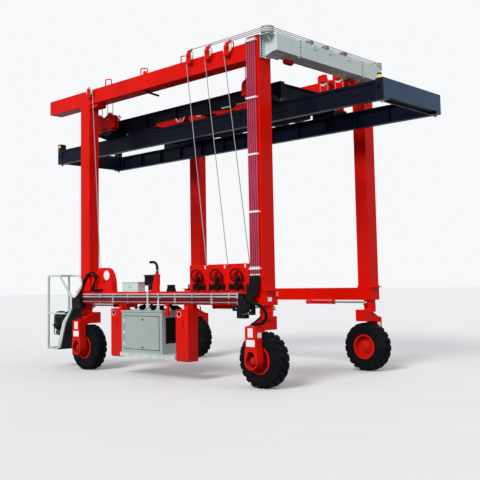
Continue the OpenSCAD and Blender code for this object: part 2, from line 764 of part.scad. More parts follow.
// Open cab at the left end of the near frame
cab_x0 = -sill_end - 60 - cab_l;
cab_z0 = 520;
cab_y0 = -frame_y - 120;
function cab_outline() = [[0, 0], [530, 0], [820, 770], [cab_l, 1170], [cab_l, 1480],
    [600, cab_h], [0, cab_h]];
module cab_side(y0) {
    p = cab_outline();
    n = len(p);
    difference() {
        upright([for (q = p) [cab_x0 + q[0], cab_z0 + q[1]]], y0, y0 + cab_tube);
        upright([for (q = [[50, 50], [495, 50], [775, 790], [cab_l - 50, 1190], [cab_l - 50, 1460],
            [575, cab_h - 50], [50, cab_h - 50]]) [cab_x0 + q[0], cab_z0 + q[1]]],
            y0 - 1, y0 + cab_tube + 1);
    }
}
module cab_frame() {
    inner_y = cab_y0 + cab_w - cab_tube;
    color(pale) {
        for (y = [cab_y0, inner_y]) {
            cab_side(y);
            upright([for (q = [[495, 50], [640, 50], [900, 760], [1215, 1160], [cab_l - 50, 1190],
                [775, 790]]) [cab_x0 + q[0], cab_z0 + q[1]]], y + 5, y + cab_tube - 5);
        }
        block([cab_x0 + cab_tube, cab_y0 + 5, cab_z0 + 1010],
            [cab_x0 + 870, cab_y0 + cab_tube - 5, cab_z0 + 1050]);
        for (q = [[0, cab_h - cab_tube], [550, cab_h - cab_tube], [0, 0]])
            block([cab_x0 + q[0], cab_y0 + cab_tube, cab_z0 + q[1]],
                [cab_x0 + q[0] + cab_tube, inner_y, cab_z0 + q[1] + cab_tube]);
    }
}
module cab_mount() {
    x1 = cab_x0 + cab_l;
    color(black) {
        block([x1, cab_y0, sill_under + 10], [-sill_end + 325, sill_y0, cab_z0 + 1480]);
        block([x1, sill_y0, sill_under + 60], [-sill_end, sill_y0 + 300, sill_top - 60]);
        slant_bar(x1 + 60, cab_z0 + 1450, left_leg_in - 30, sill_top + 500, -frame_y - 60, -frame_y,
            60);
    }
}
module cab_floor() {
    y0 = cab_y0 + cab_tube;
    y1 = cab_y0 + cab_w - cab_tube;
    color(black) {
        block([cab_x0 + cab_tube, y0, cab_z0], [cab_x0 + 480, y1, cab_z0 + 40]);
        upright([for (q = [[480, 0], [545, 0], [830, 755], [1240, 1155], [1240, 1290], [1210, 1290],
            [1210, 1175], [805, 790], [520, 40], [480, 40]]) [cab_x0 + q[0], cab_z0 + q[1]]], y0, y1);
    }
}
module cab_seat() {
    y = cab_y0 + cab_w / 2;
    color(black) {
        bar_z(cab_x0 + 240, y, cab_z0 + 40, cab_z0 + 400, 70);
        block([cab_x0 + 90, y - 230, cab_z0 + 400], [cab_x0 + 500, y + 230, cab_z0 + 500]);
        upright([for (q = [[90, 500], [190, 500], [150, 1080], [70, 1080]])
            [cab_x0 + q[0], cab_z0 + q[1]]], y - 220, y + 220);
    }
}

pipe_pitch = 60;
pipe_r = 20;
clamp_t = 12;
module leg_pipes() {
    y = -frame_y - 40;
    x0 = right_leg_in + 40;
    color(zinc) {
        for (i = [0:4])
            bar_z(x0 + i * pipe_pitch, y, sill_top + 400, leg_top - 60, pipe_r);
        for (z = [leg_top - 130, 6500, 5200, 3900, sill_top + 480]) {
            block([x0 - 35, y - pipe_r - clamp_t, z], [x0 + 4 * pipe_pitch + 35, y - pipe_r, z + 40]);
            for (x = [x0 - 35, x0 + 4 * pipe_pitch + 23])
                block([x, y - pipe_r, z], [x + clamp_t, -frame_y, z + 40]);
        }
    }
}
pipe_end = right_leg_in - 400;
module sill_pipes() {
    y = sill_y0 - 40;
    z0 = sill_under + 60;
    color(zinc) {
        for (i = [0:3])
            bar_x(-sill_end + 335, pipe_end, y, z0 + i * 65, pipe_r);
        block([pipe_end, y - 60, z0 - 35], [pipe_end + 50, sill_y0, z0 + 230]);
        for (x = [-2410, -1200, 0, 1250, 2480]) {
            block([x - 20, y - pipe_r - clamp_t, z0 - 35], [x + 20, y - pipe_r, z0 + 230]);
            for (z = [z0 - 35, z0 + 230 - clamp_t])
                block([x - 20, y - pipe_r, z], [x + 20, sill_y0, z + clamp_t]);
        }
    }
}

// Hoist: fixed sheaves beside each top beam, falls, and the blocks of the lifting frame
block_x = [-lift_l / 2 - 100, lift_l / 2 - 400];
block_y = frame_y - 780;
fixed_z = beam_under + 300;
block_pin_r = 30;
block_w = 50;
fall_pitch = block_sheave_r - groove_d + rope_r + face_gap;
lift_under = spreader_under + side_h + lift_gap;
lift_top = lift_under + lift_h;
lift_y = spreader_w / 2 - 120;
block_z = lift_under + 460;
module hoist_falls() {
    color(steel)
        for (far = [false, true])
            side(far)
                for (x = block_x, s = [-3, -1, 1, 3])
                    bar_z(x + s * fall_pitch, -block_y, block_z, fixed_z, rope_r);
}

// Spreader: a long frame that locks on the container, and the lifting frame on top of it
end_w = 200;
spreader_top = spreader_under + side_h;
module spreader_beam() {
    y0 = -spreader_w / 2;
    y1 = y0 + side_w;
    color(navy)
        endwise([[y0, spreader_under], [y1, spreader_under], [y1, spreader_under + 30],
            [y0 + 60, spreader_under + 50], [y0 + 60, spreader_top - 50], [y1, spreader_top - 30],
            [y1, spreader_top], [y0, spreader_top], [y0, spreader_top - 60],
            [y0 + 25, spreader_top - 80], [y0 + 25, spreader_under + 190],
            [y0, spreader_under + 170]],
            -spreader_l / 2 + end_w, spreader_l / 2 - end_w);
}
module spreader_ends() {
    y0 = -spreader_w / 2;
    top = spreader_top + 30;
    color(navy) {
        for (left = [false, true])
            end_of(left)
                difference() {
                    block([spreader_l / 2 - end_w, y0, spreader_under], [spreader_l / 2, -y0, top]);
                    block([spreader_l / 2 - end_w + 30, y0 + 200, spreader_under - 1],
                        [spreader_l / 2 + 1, -y0 - 200, spreader_under + 60]);
                    for (s = [-1, 1])
                        bar_y(spreader_l / 2 - end_w / 2, s * (-y0 - 15) - 16, s * (-y0 - 15) + 16,
                            spreader_under + 250, 60);
                }
        for (s = [-1, 1])
            block([-spreader_l / 2, s * (-y0 - 90) - 90, top],
                [-spreader_l / 2 + 180, s * (-y0 - 90) + 90, top + 150]);
    }
}
module twistlocks() {
    color(steel)
        for (sx = [-1, 1], sy = [-1, 1])
            translate([sx * (spreader_l / 2 - 100), sy * (spreader_w / 2 - 90), spreader_under])
                rotate_extrude()
                    polygon([[0, -60], [20, -55], [45, -35], [45, -28], [28, -20], [28, 0], [0, 0]]);
}
module lifting_beam() {
    y0 = -lift_y;
    y1 = y0 + 150;
    color(navy) {
        endwise([[y0, lift_under], [y1, lift_under], [y1, lift_under + 30], [y0 + 90, lift_under + 40],
            [y0 + 90, lift_top - 40], [y1, lift_top - 30], [y1, lift_top], [y0, lift_top],
            [y0, lift_top - 30], [y0 + 60, lift_top - 40], [y0 + 60, lift_under + 40],
            [y0, lift_under + 30]], -lift_l / 2, lift_l / 2);
        for (i = [0:5]) {
            x = -lift_l / 2 + i * (lift_l - 20) / 5;
            block([x, y0 + 5, lift_under + 10], [x + 20, y1 - 5, lift_top - 10]);
        }
        for (x = [-lift_l / 2 + 100, lift_l / 2 - 300])
            upright([[x - 40, spreader_top], [x + 240, spreader_top], [x + 200, lift_under + 5],
                [x, lift_under + 5]], y0 - 60, y0 + 60);
        for (x = block_x)
            endwise([[-block_y - 60, lift_under - 30], [y0 - 80, lift_under - 100],
                [y0 + 10, lift_under - 100], [y0 + 10, lift_under + 40], [-block_y - 60, lift_under + 40]],
                x - 350, x + 350);
    }
}
module lifting_cross_beams() {
    z1 = lift_top - 40;
    x1 = lift_l / 2;
    x0 = x1 - 180;
    color(navy)
        for (left = [false, true])
            end_of(left)
                upright([[x0, lift_under], [x1, lift_under], [x1, lift_under + 25],
                    [x1 - 70, lift_under + 35], [x1 - 70, z1 - 35], [x1, z1 - 25], [x1, z1],
                    [x0, z1], [x0, z1 - 25], [x0 + 70, z1 - 35], [x0 + 70, lift_under + 35],
                    [x0, lift_under + 25]], -lift_y + 150, lift_y - 150);
}
module sheave_blocks() {
    y0 = -block_y - 60;
    color(red)
        for (far = [false, true])
            side(far)
                for (x = block_x) {
                    block([x - 380, y0, lift_under + 40], [x + 380, y0 + 120, lift_under + 90]);
                    for (s = [-1, 1]) {
                        xs = x + s * 2 * fall_pitch;
                        for (y = [-block_y - 44, -block_y + 32])
                            cheek(xs, block_z, lift_under + 60 - block_z, 100, y, y + 12);
                        bar_y(xs, -block_y - 56, -block_y + 56, block_z, block_pin_r);
                        translate([xs, -block_y, block_z])
                            sheave(block_pin_r + fit, block_sheave_r, block_w);
                    }
                }
}

// Steering cylinder under the sill, and the rod that drives the tiller
rod_r = 25;
rod_z = sill_under - 55;
cylinder_x1 = kingpin_x - 980;
cylinder_x0 = cylinder_x1 - 900;
module steering_cylinders() {
    color(red)
        for (far = [false, true])
            side(far)
                for (left = [false, true])
                    end_of(left) {
                        difference() {
                            bar_x(cylinder_x0, cylinder_x1, -wheel_y + tiller_r, rod_z, 50);
                            bar_x(cylinder_x1 - 500, cylinder_x1 + 1, -wheel_y + tiller_r, rod_z,
                                rod_r + fit);
                        }
                        for (x = [cylinder_x0 + 40, cylinder_x1 - 90])
                            block([x, -wheel_y + tiller_r - 60, rod_z + 40],
                                [x + 50, -wheel_y + tiller_r - 20, sill_under]);
                    }
}
module rod() {
    eye = 60;
    hole = tiller_pin_r + 18;
    color(steel)
        difference() {
            union() {
                bar_x(cylinder_x1 - 400, kingpin_x - eye + 10, -wheel_y + tiller_r, rod_z, rod_r);
                bar_z(kingpin_x, -wheel_y + tiller_r, rod_z - 20, rod_z + 20, eye);
            }
            bar_z(kingpin_x, -wheel_y + tiller_r, rod_z - 21, rod_z + 21, hole);
        }
}

// Hose from the pipes' end to the near right wheel, along points in millimetres
hose_r = 36;
HOSE = [[2800, -2310, 1960], [2880, -2325, 1962], [2980, -2370, 1955], [3100, -2410, 1940],
    [3240, -2425, 1915], [3380, -2430, 1885], [3510, -2430, 1845], [3620, -2430, 1785],
    [3685, -2430, 1700], [3705, -2430, 1600], [3670, -2430, 1515], [3590, -2430, 1460],
    [3490, -2430, 1435], [3390, -2430, 1430], [3290, -2430, 1430]];
function curve(a, b, c, d, t) = 0.5 * (2 * b + (c - a) * t + (2 * a - 5 * b + 4 * c - d) * t * t
    + (3 * b - a - 3 * c + d) * t * t * t);
function route(p, k) = concat([for (i = [0:len(p) - 2], t = [0:k - 1])
    curve(p[max(i - 1, 0)], p[i], p[i + 1], p[min(i + 2, len(p) - 1)], t / k)], [p[len(p) - 1]]);
module hose(points, r, n) {
    last = len(points) - 1;
    rings = [for (i = [0:last])
        let (d = points[min(i + 1, last)] - points[max(i - 1, 0)],
            across = cross(d, [0, 1, 0]) / norm(cross(d, [0, 1, 0])),
            up = cross(across, d) / norm(d))
        [for (k = [0:n - 1]) points[i] + r * (cos(360 * k / n) * across + sin(360 * k / n) * up)]];
    polyhedron([for (ring = rings) each ring],
        concat([[for (k = [0:n - 1]) k]], [[for (k = [0:n - 1]) last * n + n - 1 - k]],
            [for (i = [0:last - 1], k = [0:n - 1])
                [i * n + k, i * n + n + k, i * n + n + (k + 1) % n, i * n + (k + 1) % n]]));
}
module hose_bundle() {
    color(black)
        hose(route(HOSE, 3), hose_r, 10);
}

color(red) side(false) top_beam();  // near_top_beam
color(red) side(true) top_beam();  // far_top_beam
color(red) side(false) left_leg();  // near_left_leg
color(red) side(false) right_leg();  // near_right_leg
color(red) side(true) left_leg();  // far_left_leg
color(red) side(true) right_leg();  // far_right_leg
color(red) side(false) sill();  // near_sill
color(red) side(true) sill();  // far_sill
color(pale) side(false) corner_beam();  // near_corner_beam
cross_beam();
color(pale) side(true) corner_beam();  // far_corner_beam
cross_beam_rollers();
engine_enclosure();
engine_skid();
side_tanks();
sill_equipment();
winch_frame();
winch_drum(1);  // winch_drum_1
winch_drum(2);  // winch_drum_2
winch_drum(3);  // winch_drum_3
left_foot_housing();
cab_frame();
cab_floor();
cab_seat();
leg_pipes();
sill_pipes();
lead_brackets();
upper_sheaves();
lead_ropes();
lead_sheave(1);  // lead_sheave_1
lead_sheave(2);  // lead_sheave_2
lead_sheave(3);  // lead_sheave_3
steering_cylinders();
cab_mount();
side(false) rod();  // near_right_rod
side(true) rod();  // far_right_rod
side(false) end_of(true) rod();  // near_left_rod
side(true) end_of(true) rod();  // far_left_rod
side(false) yoke();  // near_right_yoke
side(true) yoke();  // far_right_yoke
side(false) end_of(true) yoke();  // near_left_yoke
side(true) end_of(true) yoke();  // far_left_yoke
side(false) rim();  // near_right_rim
side(true) rim();  // far_right_rim
side(false) end_of(true) rim();  // near_left_rim
side(true) end_of(true) rim();  // far_left_rim
side(false) tyre();  // near_right_tyre
side(true) tyre();  // far_right_tyre
side(false) end_of(true) tyre();  // near_left_tyre
side(true) end_of(true) tyre();  // far_left_tyre
side(false) spreader_beam();  // spreader_near_beam
side(true) spreader_beam();  // spreader_far_beam
spreader_ends();
twistlocks();
side(false) lifting_beam();  // lifting_near_beam
side(true) lifting_beam();  // lifting_far_beam
lifting_cross_beams();
sheave_blocks();
hoist_falls();
hose_bundle();
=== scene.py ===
import itertools
import json
import math

import bmesh
import bpy
from mathutils import Matrix, Vector


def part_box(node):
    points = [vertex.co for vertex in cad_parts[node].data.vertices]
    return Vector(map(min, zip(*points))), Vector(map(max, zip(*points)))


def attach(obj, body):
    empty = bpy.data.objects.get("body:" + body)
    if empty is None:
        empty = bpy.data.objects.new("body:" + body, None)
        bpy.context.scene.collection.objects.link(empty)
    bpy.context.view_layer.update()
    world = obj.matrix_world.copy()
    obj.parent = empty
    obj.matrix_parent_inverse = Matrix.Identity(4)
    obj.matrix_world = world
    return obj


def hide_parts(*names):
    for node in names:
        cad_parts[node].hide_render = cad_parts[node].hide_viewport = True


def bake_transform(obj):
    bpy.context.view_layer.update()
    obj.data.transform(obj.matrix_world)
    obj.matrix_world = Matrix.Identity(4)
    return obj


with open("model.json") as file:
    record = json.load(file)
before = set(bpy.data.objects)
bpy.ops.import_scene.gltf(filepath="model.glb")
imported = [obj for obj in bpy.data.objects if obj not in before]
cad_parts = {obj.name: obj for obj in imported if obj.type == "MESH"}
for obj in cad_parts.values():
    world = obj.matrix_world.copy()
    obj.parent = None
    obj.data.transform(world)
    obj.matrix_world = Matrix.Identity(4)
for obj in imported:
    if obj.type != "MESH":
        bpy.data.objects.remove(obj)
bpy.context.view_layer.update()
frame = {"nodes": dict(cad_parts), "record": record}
scene = bpy.context.scene
scene.view_settings.view_transform = "Standard"

# Camera: position, heading, pitch and roll of the photograph, in metres and degrees
CAMERA_AT = Vector((14.917, -15.131, 2.378))
HEADING, PITCH, ROLL = 43.2525, 5.0264, -1.0372
FOCAL_PX, PHOTO_PX = 774.79, 480
CENTRE_PX = (239.5, 213.0)
SENSOR_MM = 36
VIEW_DEPTH = 500


def add_camera():
    yaw, pitch, roll = (math.radians(a) for a in (HEADING, PITCH, ROLL))
    ahead = Vector((-math.sin(yaw) * math.cos(pitch), math.cos(yaw) * math.cos(pitch), math.sin(pitch)))
    level = Vector((math.cos(yaw), math.sin(yaw), 0))
    up = level.cross(ahead)
    right = level * math.cos(roll) + up * math.sin(roll)
    top = up * math.cos(roll) - level * math.sin(roll)
    data = bpy.data.cameras.new("camera")
    data.sensor_width = SENSOR_MM
    data.sensor_fit = "HORIZONTAL"
    data.lens = FOCAL_PX * SENSOR_MM / PHOTO_PX
    data.shift_x = (PHOTO_PX / 2 - CENTRE_PX[0]) / PHOTO_PX
    data.shift_y = (CENTRE_PX[1] - PHOTO_PX / 2) / PHOTO_PX
    data.clip_end = VIEW_DEPTH
    camera = bpy.data.objects.new("camera", data)
    scene.collection.objects.link(camera)
    pose = Matrix((right, top, -ahead)).transposed().to_4x4()
    pose.translation = CAMERA_AT
    camera.matrix_world = pose
    scene.camera = camera


add_camera()


# Materials
class Nodes:
    """A short way to write a material's node tree."""

    def __init__(self, name):
        self.mat = bpy.data.materials.new(name)
        self.mat.use_nodes = True
        self.tree = self.mat.node_tree
        self.bsdf = self.tree.nodes["Principled BSDF"]
        self.coords = self.tree.nodes.new("ShaderNodeTexCoord").outputs["Object"]

    def add(self, kind, **values):
        node = self.tree.nodes.new(kind)
        for key, value in values.items():
            if hasattr(node, key):
                setattr(node, key, value)
            else:
                self.put(node.inputs[key], value)
        return node

    def put(self, socket, value):
        if isinstance(value, bpy.types.NodeSocket):
            self.tree.links.new(value, socket)
        else:
            socket.default_value = value

    def noise(self, scale, detail=4, rough=0.55, vector=None):
        n = self.add("ShaderNodeTexNoise", Scale=scale, Detail=detail, Roughness=rough)
        self.put(n.inputs["Vector"], self.coords if vector is None else vector)
        return n.outputs["Fac"]

    def wave(self, **values):
        return self.add("ShaderNodeTexWave", Vector=self.coords, **values).outputs["Fac"]

    def stretch(self, scale):
        return self.add("ShaderNodeMapping", Vector=self.coords, Scale=scale).outputs["Vector"]

    def ramp(self, value, lo, hi, a=0.0, b=1.0):
        n = self.add("ShaderNodeMapRange", Value=value)
        for key, number in (("From Min", lo), ("From Max", hi), ("To Min", a), ("To Max", b)):
            n.inputs[key].default_value = number
        return n.outputs["Result"]

    def mix(self, fac, a, b):
        n = self.add("ShaderNodeMix", data_type="RGBA")
        self.put(n.inputs["Factor"], fac)
        self.put(n.inputs[6], a if not isinstance(a, tuple) else (*a, 1))
        self.put(n.inputs[7], b if not isinstance(b, tuple) else (*b, 1))
        return n.outputs[2]

    def math(self, operation, a, b=0.0):
        n = self.add("ShaderNodeMath", operation=operation)
        self.put(n.inputs[0], a)
        self.put(n.inputs[1], b)
        return n.outputs[0]

    def along(self, axis):
        """The object's own coordinate along X, Y or Z."""
        return self.add("ShaderNodeSeparateXYZ", Vector=self.coords).outputs[axis]

    def bump(self, height, strength, distance):
        n = self.add("ShaderNodeBump", Strength=strength, Distance=distance, Height=height)
        self.put(self.bsdf.inputs["Normal"], n.outputs["Normal"])

    def rough(self, lo, hi, *noise):
        """Roughness that wanders between two values."""
        self.set(Roughness=self.ramp(self.noise(*noise), 0.3, 0.7, lo, hi))

    def set(self, **values):
        for key, value in values.items():
            self.put(self.bsdf.inputs[key.replace("_", " ")], value)


def darker(colour, share):
    return tuple(c * share for c in colour)


def paint(name, colour, shade, rough, coat, dirt, dirt_top, streak=0.18, sheen=0.1):
    """Enamel on steel: slow changes of tone, rain streaks, road dirt low down and a little orange peel."""
    m = Nodes(name)
    body = m.mix(m.ramp(m.noise(0.9, 3), 0.35, 0.65), colour, shade)
    rain = m.ramp(m.noise(1.0, 5, 0.6, m.stretch((9, 9, 0.5))), 0.52, 0.75, 0, streak)
    body = m.mix(rain, body, darker(colour, 0.55))
    low = m.ramp(m.along("Z"), 0.15, dirt_top, 1.0, 0.0)
    spots = m.ramp(m.noise(7, 6, 0.7), 0.42, 0.66)
    body = m.mix(m.math("MULTIPLY", m.math("MULTIPLY", low, spots), 0.75), body, dirt)
    m.set(Base_Color=body, Coat_Weight=coat, Coat_Roughness=0.08, Specular_IOR_Level=sheen)
    m.rough(rough - 0.07, rough + 0.12, 3.5, 5, 0.65)
    m.bump(m.noise(55, 2), 0.1, 0.002)
    return m.mat


def metal(name, colour, shade, rough, metallic, scale=18):
    m = Nodes(name)
    spangle = m.ramp(m.noise(scale, 5, 0.6), 0.35, 0.65)
    m.set(Base_Color=m.mix(spangle, colour, shade), Metallic=metallic)
    m.rough(rough - 0.08, rough + 0.1, scale * 0.6, 4)
    m.bump(m.noise(scale * 3, 3), 0.15, 0.001)
    return m.mat


def plastic(name, colour, shade, rough, scale=12):
    m = Nodes(name)
    m.set(Base_Color=m.mix(m.ramp(m.noise(scale, 5), 0.35, 0.7), colour, shade))
    m.rough(rough - 0.06, rough + 0.1, scale * 0.5)
    m.bump(m.noise(scale * 6, 3), 0.12, 0.001)
    return m.mat


def rubber(name, colour, dust):
    m = Nodes(name)
    worn = m.ramp(m.noise(6, 6, 0.7), 0.45, 0.72, 0, 0.55)
    m.set(Base_Color=m.mix(worn, colour, dust), Specular_IOR_Level=0.05)
    m.rough(0.62, 0.85, 5, 4)
    m.bump(m.noise(90, 3), 0.2, 0.002)
    return m.mat


def rope(name):
    """Wire rope: a fine slanted stripe for the lay of the strands."""
    m = Nodes(name)
    lay = m.wave(Scale=60.0, Distortion=0.4, bands_direction="DIAGONAL")
    m.set(Base_Color=m.mix(lay, (0.36, 0.36, 0.37), (0.27, 0.27, 0.28)), Metallic=0.3, Roughness=0.5)
    m.bump(lay, 0.4, 0.003)
    return m.mat


def lens(name, colour, glow):
    m = Nodes(name)
    m.set(Base_Color=m.mix(m.wave(Scale=40.0), colour, darker(colour, 0.7)), Roughness=0.18,
          Coat_Weight=0.6, Emission_Color=(*colour, 1), Emission_Strength=glow)
    return m.mat


def zone(m, axis, lo, hi, fold=False):
    """1 where the object's own coordinate lies between lo and hi, with fold for its size without its sign."""
    value = m.math("ABSOLUTE", m.along(axis)) if fold else m.along(axis)
    return m.math("MULTIPLY", m.math("GREATER_THAN", value, lo), m.math("LESS_THAN", value, hi))


def split_paint(name, base, shade, regions=(), sheen=0.1):
    """Paint that changes colour inside regions, each the overlap of zones."""
    m = Nodes(name)
    tone = m.ramp(m.noise(0.9, 3), 0.35, 0.65)
    body = m.mix(tone, base, shade)
    for zones, colour in regions:
        inside = 1.0
        for limits in zones:
            inside = m.math("MULTIPLY", zone(m, *limits), inside)
        body = m.mix(inside, body, m.mix(tone, colour, darker(colour, 0.88)))
    m.set(Base_Color=body, Coat_Weight=sheen / 2, Specular_IOR_Level=sheen)
    m.rough(0.36, 0.52, 3.5, 5, 0.65)
    m.bump(m.noise(55, 2), 0.1, 0.002)
    return m.mat


RED, RED_SHADE = (0.72, 0.005, 0.0008), (0.63, 0.004, 0.0008)
PALE, PALE_SHADE = (0.58, 0.665, 0.64), (0.53, 0.615, 0.6)
NAVY, NAVY_SHADE = (0.0025, 0.0048, 0.0135), (0.0018, 0.0034, 0.0095)
BLACK, BLACK_SHADE = (0.006, 0.0065, 0.008), (0.009, 0.009, 0.01)
NYLON, NYLON_SHADE = (0.83, 0.84, 0.83), (0.7, 0.71, 0.7)
ROAD, DUST = (0.075, 0.04, 0.03), (0.03, 0.028, 0.026)
MATS = {
    "red_paint": paint("red_paint", RED, RED_SHADE, 0.4, 0.04, ROAD, 1.5, 0.18, 0.05),
    "pale_paint": paint("pale_paint", PALE, PALE_SHADE, 0.45, 0.08, (0.16, 0.15, 0.13), 1.1),
    "navy_paint": paint("navy_paint", NAVY, NAVY_SHADE, 0.42, 0.05, (0.03, 0.03, 0.03), 0.3, 0.3, 0.05),
    "black_paint": paint("black_paint", BLACK, BLACK_SHADE, 0.45, 0.03, DUST, 1.2, 0.18, 0.05),
    "zinc": metal("zinc", (0.6, 0.62, 0.64), (0.44, 0.45, 0.47), 0.38, 0.75),
    "steel": metal("steel", (0.4, 0.4, 0.41), (0.28, 0.28, 0.29), 0.4, 0.8, 30),
    "nylon": plastic("nylon", NYLON, NYLON_SHADE, 0.42),
    "seat_cover": plastic("seat_cover", (0.016, 0.016, 0.017), (0.026, 0.026, 0.027), 0.55, 30),
    "tyre": rubber("tyre", (0.004, 0.005, 0.007), (0.014, 0.0135, 0.0135)),
    "hose": rubber("hose", (0.004, 0.004, 0.005), (0.012, 0.012, 0.012)),
    "rope": rope("rope"),
    "amber": lens("amber", (0.85, 0.45, 0.06), 0.25),
    "orange_lens": lens("orange_lens", (0.8, 0.1, 0.01), 0.2),
    "screen": rubber("screen", (0.004, 0.005, 0.007), (0.007, 0.008, 0.01)),
    "winch_hose": rubber("winch_hose", (0.075, 0.004, 0.006), (0.11, 0.012, 0.014)),
    "white_plate": plastic("white_plate", (0.8, 0.8, 0.81), (0.7, 0.7, 0.72), 0.5, 8),
}

# Nodes with pieces of several colours, and the limits in metres where their colours change
BEAM_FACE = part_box("cross_beam")[1][0]
CLAMP_Z = (7.83, 6.5, 5.2, 3.9, 2.63)
CABINET, FIN = [("X", -3.0, -0.9)], [("X", -0.41, -0.125), ("Y", -3.0, -2.125)]
LOUVRES = [("X", 0.2695, 0.3315), ("Y", -2.3605, -1.8695), ("Z", 0.8695, 1.5105)]
BLOCK_PINS = [("Y", 1.4695, 1.5305, True), ("Z", 7.0, 9.0)]
BY_NODE = {
    "sill_equipment": split_paint("sill_kit", BLACK, (0.004, 0.0045, 0.006),
                                  [(CABINET, PALE), (FIN, RED)], 0.03),
    # The engine enclosure's pale is darker than the pale paint: painted shade from the sill above it.
    "engine_enclosure": split_paint("engine_paint_with_painted_shade", (0.36, 0.405, 0.395), (0.32, 0.365, 0.355),
                                    [(LOUVRES, BLACK)]),
    # Navy ends, with the outer end faces a lighter blue: painted sky reflection on those faces.
    "spreader_ends": split_paint("spreader_end_paint_and_reflection", NAVY, NAVY_SHADE,
                                 [([("X", 6.0945, 7.0, True)], (0.036, 0.07, 0.13))]),
    "cross_beam_rollers": split_paint("roller_paint", (0.42, 0.44, 0.46), (0.34, 0.36, 0.38), [
        ([("Y", 0.5, 1.0)], (0.4, 0.045, 0.12)), ([("X", BEAM_FACE - 0.0005, 9.0)], PALE)]),
    "cab_floor": split_paint("cab_panel_paint", (0.04, 0.047, 0.046), (0.03, 0.036, 0.036)),
    "leg_pipes": split_paint("pipe_paint", (0.5, 0.07, 0.125), (0.4, 0.04, 0.075), [
        ([("Z", z - 0.005, z + 0.045)], NYLON) for z in CLAMP_Z]),
    "sheave_blocks": split_paint("block_paint", RED, RED_SHADE, [(BLOCK_PINS, NYLON)]),
    # Grey pipes; the lowest row pinker and the row above it dark maroon: painted shade with painted red
    # reflection from the sill.
    "sill_pipes": split_paint("sill_pipe_paint_shade_and_reflection", (0.43, 0.44, 0.46), (0.33, 0.33, 0.35), [
        ([("Z", 1.922, 1.988)], (0.1, 0.01, 0.014)), ([("Z", 1.8, 1.922)], (0.33, 0.15, 0.17))]),
    "lead_ropes": MATS["rope"],
}
# The drums are a dark maroon instead of red: painted shade for the dark inside of the winch openings.
for i in (1, 2, 3):
    BY_NODE[f"winch_drum_{i}"] = split_paint(f"drum_painted_shade_{i}", (0.17, 0.0035, 0.003), (0.12, 0.003, 0.003))
for part in frame["record"]["subparts"]:
    materials = frame["nodes"][part["node"]].data.materials
    materials.clear()
    materials.append(BY_NODE.get(part["node"], MATS[part["material_slot"]]))

# Mesh building: every form is in metres, in the frame
ALONG, UP, DOWN, NEAR = (1, 0, 0), (0, 0, 1), (0, 0, -1), (0, -1, 0)
UPRIGHT, FLAT = (ALONG, UP), (ALONG, (0, 1, 0))
SIDES = (("near", -1), ("far", 1))
CORNERS = [(f"{side}_{end}", sx, sy) for side, sy in SIDES for end, sx in (("right", 1), ("left", -1))]


def around(centre, radius, angles, plane=UPRIGHT):
    """Points on a circle at the given angles, in radians."""
    u, v = (Vector(a) for a in plane)
    return [Vector(centre) + radius * (u * math.cos(t) + v * math.sin(t)) for t in angles]


def angles(n, start=0.0):
    return [start + 2 * math.pi * k / n for k in range(n)]


def arc(centre, radius, start, stop, n=12, plane=UPRIGHT):
    """Points on an arc, between angles in degrees."""
    return around(centre, radius, [math.radians(start + (stop - start) * k / n) for k in range(n + 1)], plane)


def row(a, b, n):
    """n points from a to b."""
    return [Vector(a).lerp(Vector(b), k / (n - 1)) for k in range(n)]


def spline(points, steps=6):
    """A smooth line through points."""
    p = [Vector(q) for q in points]
    out = []
    for i in range(len(p) - 1):
        a, b, c, d = p[max(i - 1, 0)], p[i], p[i + 1], p[min(i + 2, len(p) - 1)]
        for k in range(steps):
            t = k / steps
            out.append(0.5 * (2 * b + (c - a) * t + (2 * a - 5 * b + 4 * c - d) * t * t
                              + (3 * b - a - 3 * c + d) * t * t * t))
    return out + [p[-1]]


def middle(name):
    """The middle of a node's box."""
    lo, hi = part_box(name)
    return [(lo[i] + hi[i]) / 2 for i in range(3)]


def mirrored(half, mid):
    """An outline from its right half, mirrored about mid."""
    return [(mid + a, b) for a, b in half] + [(mid - a, b) for a, b in reversed(half)]


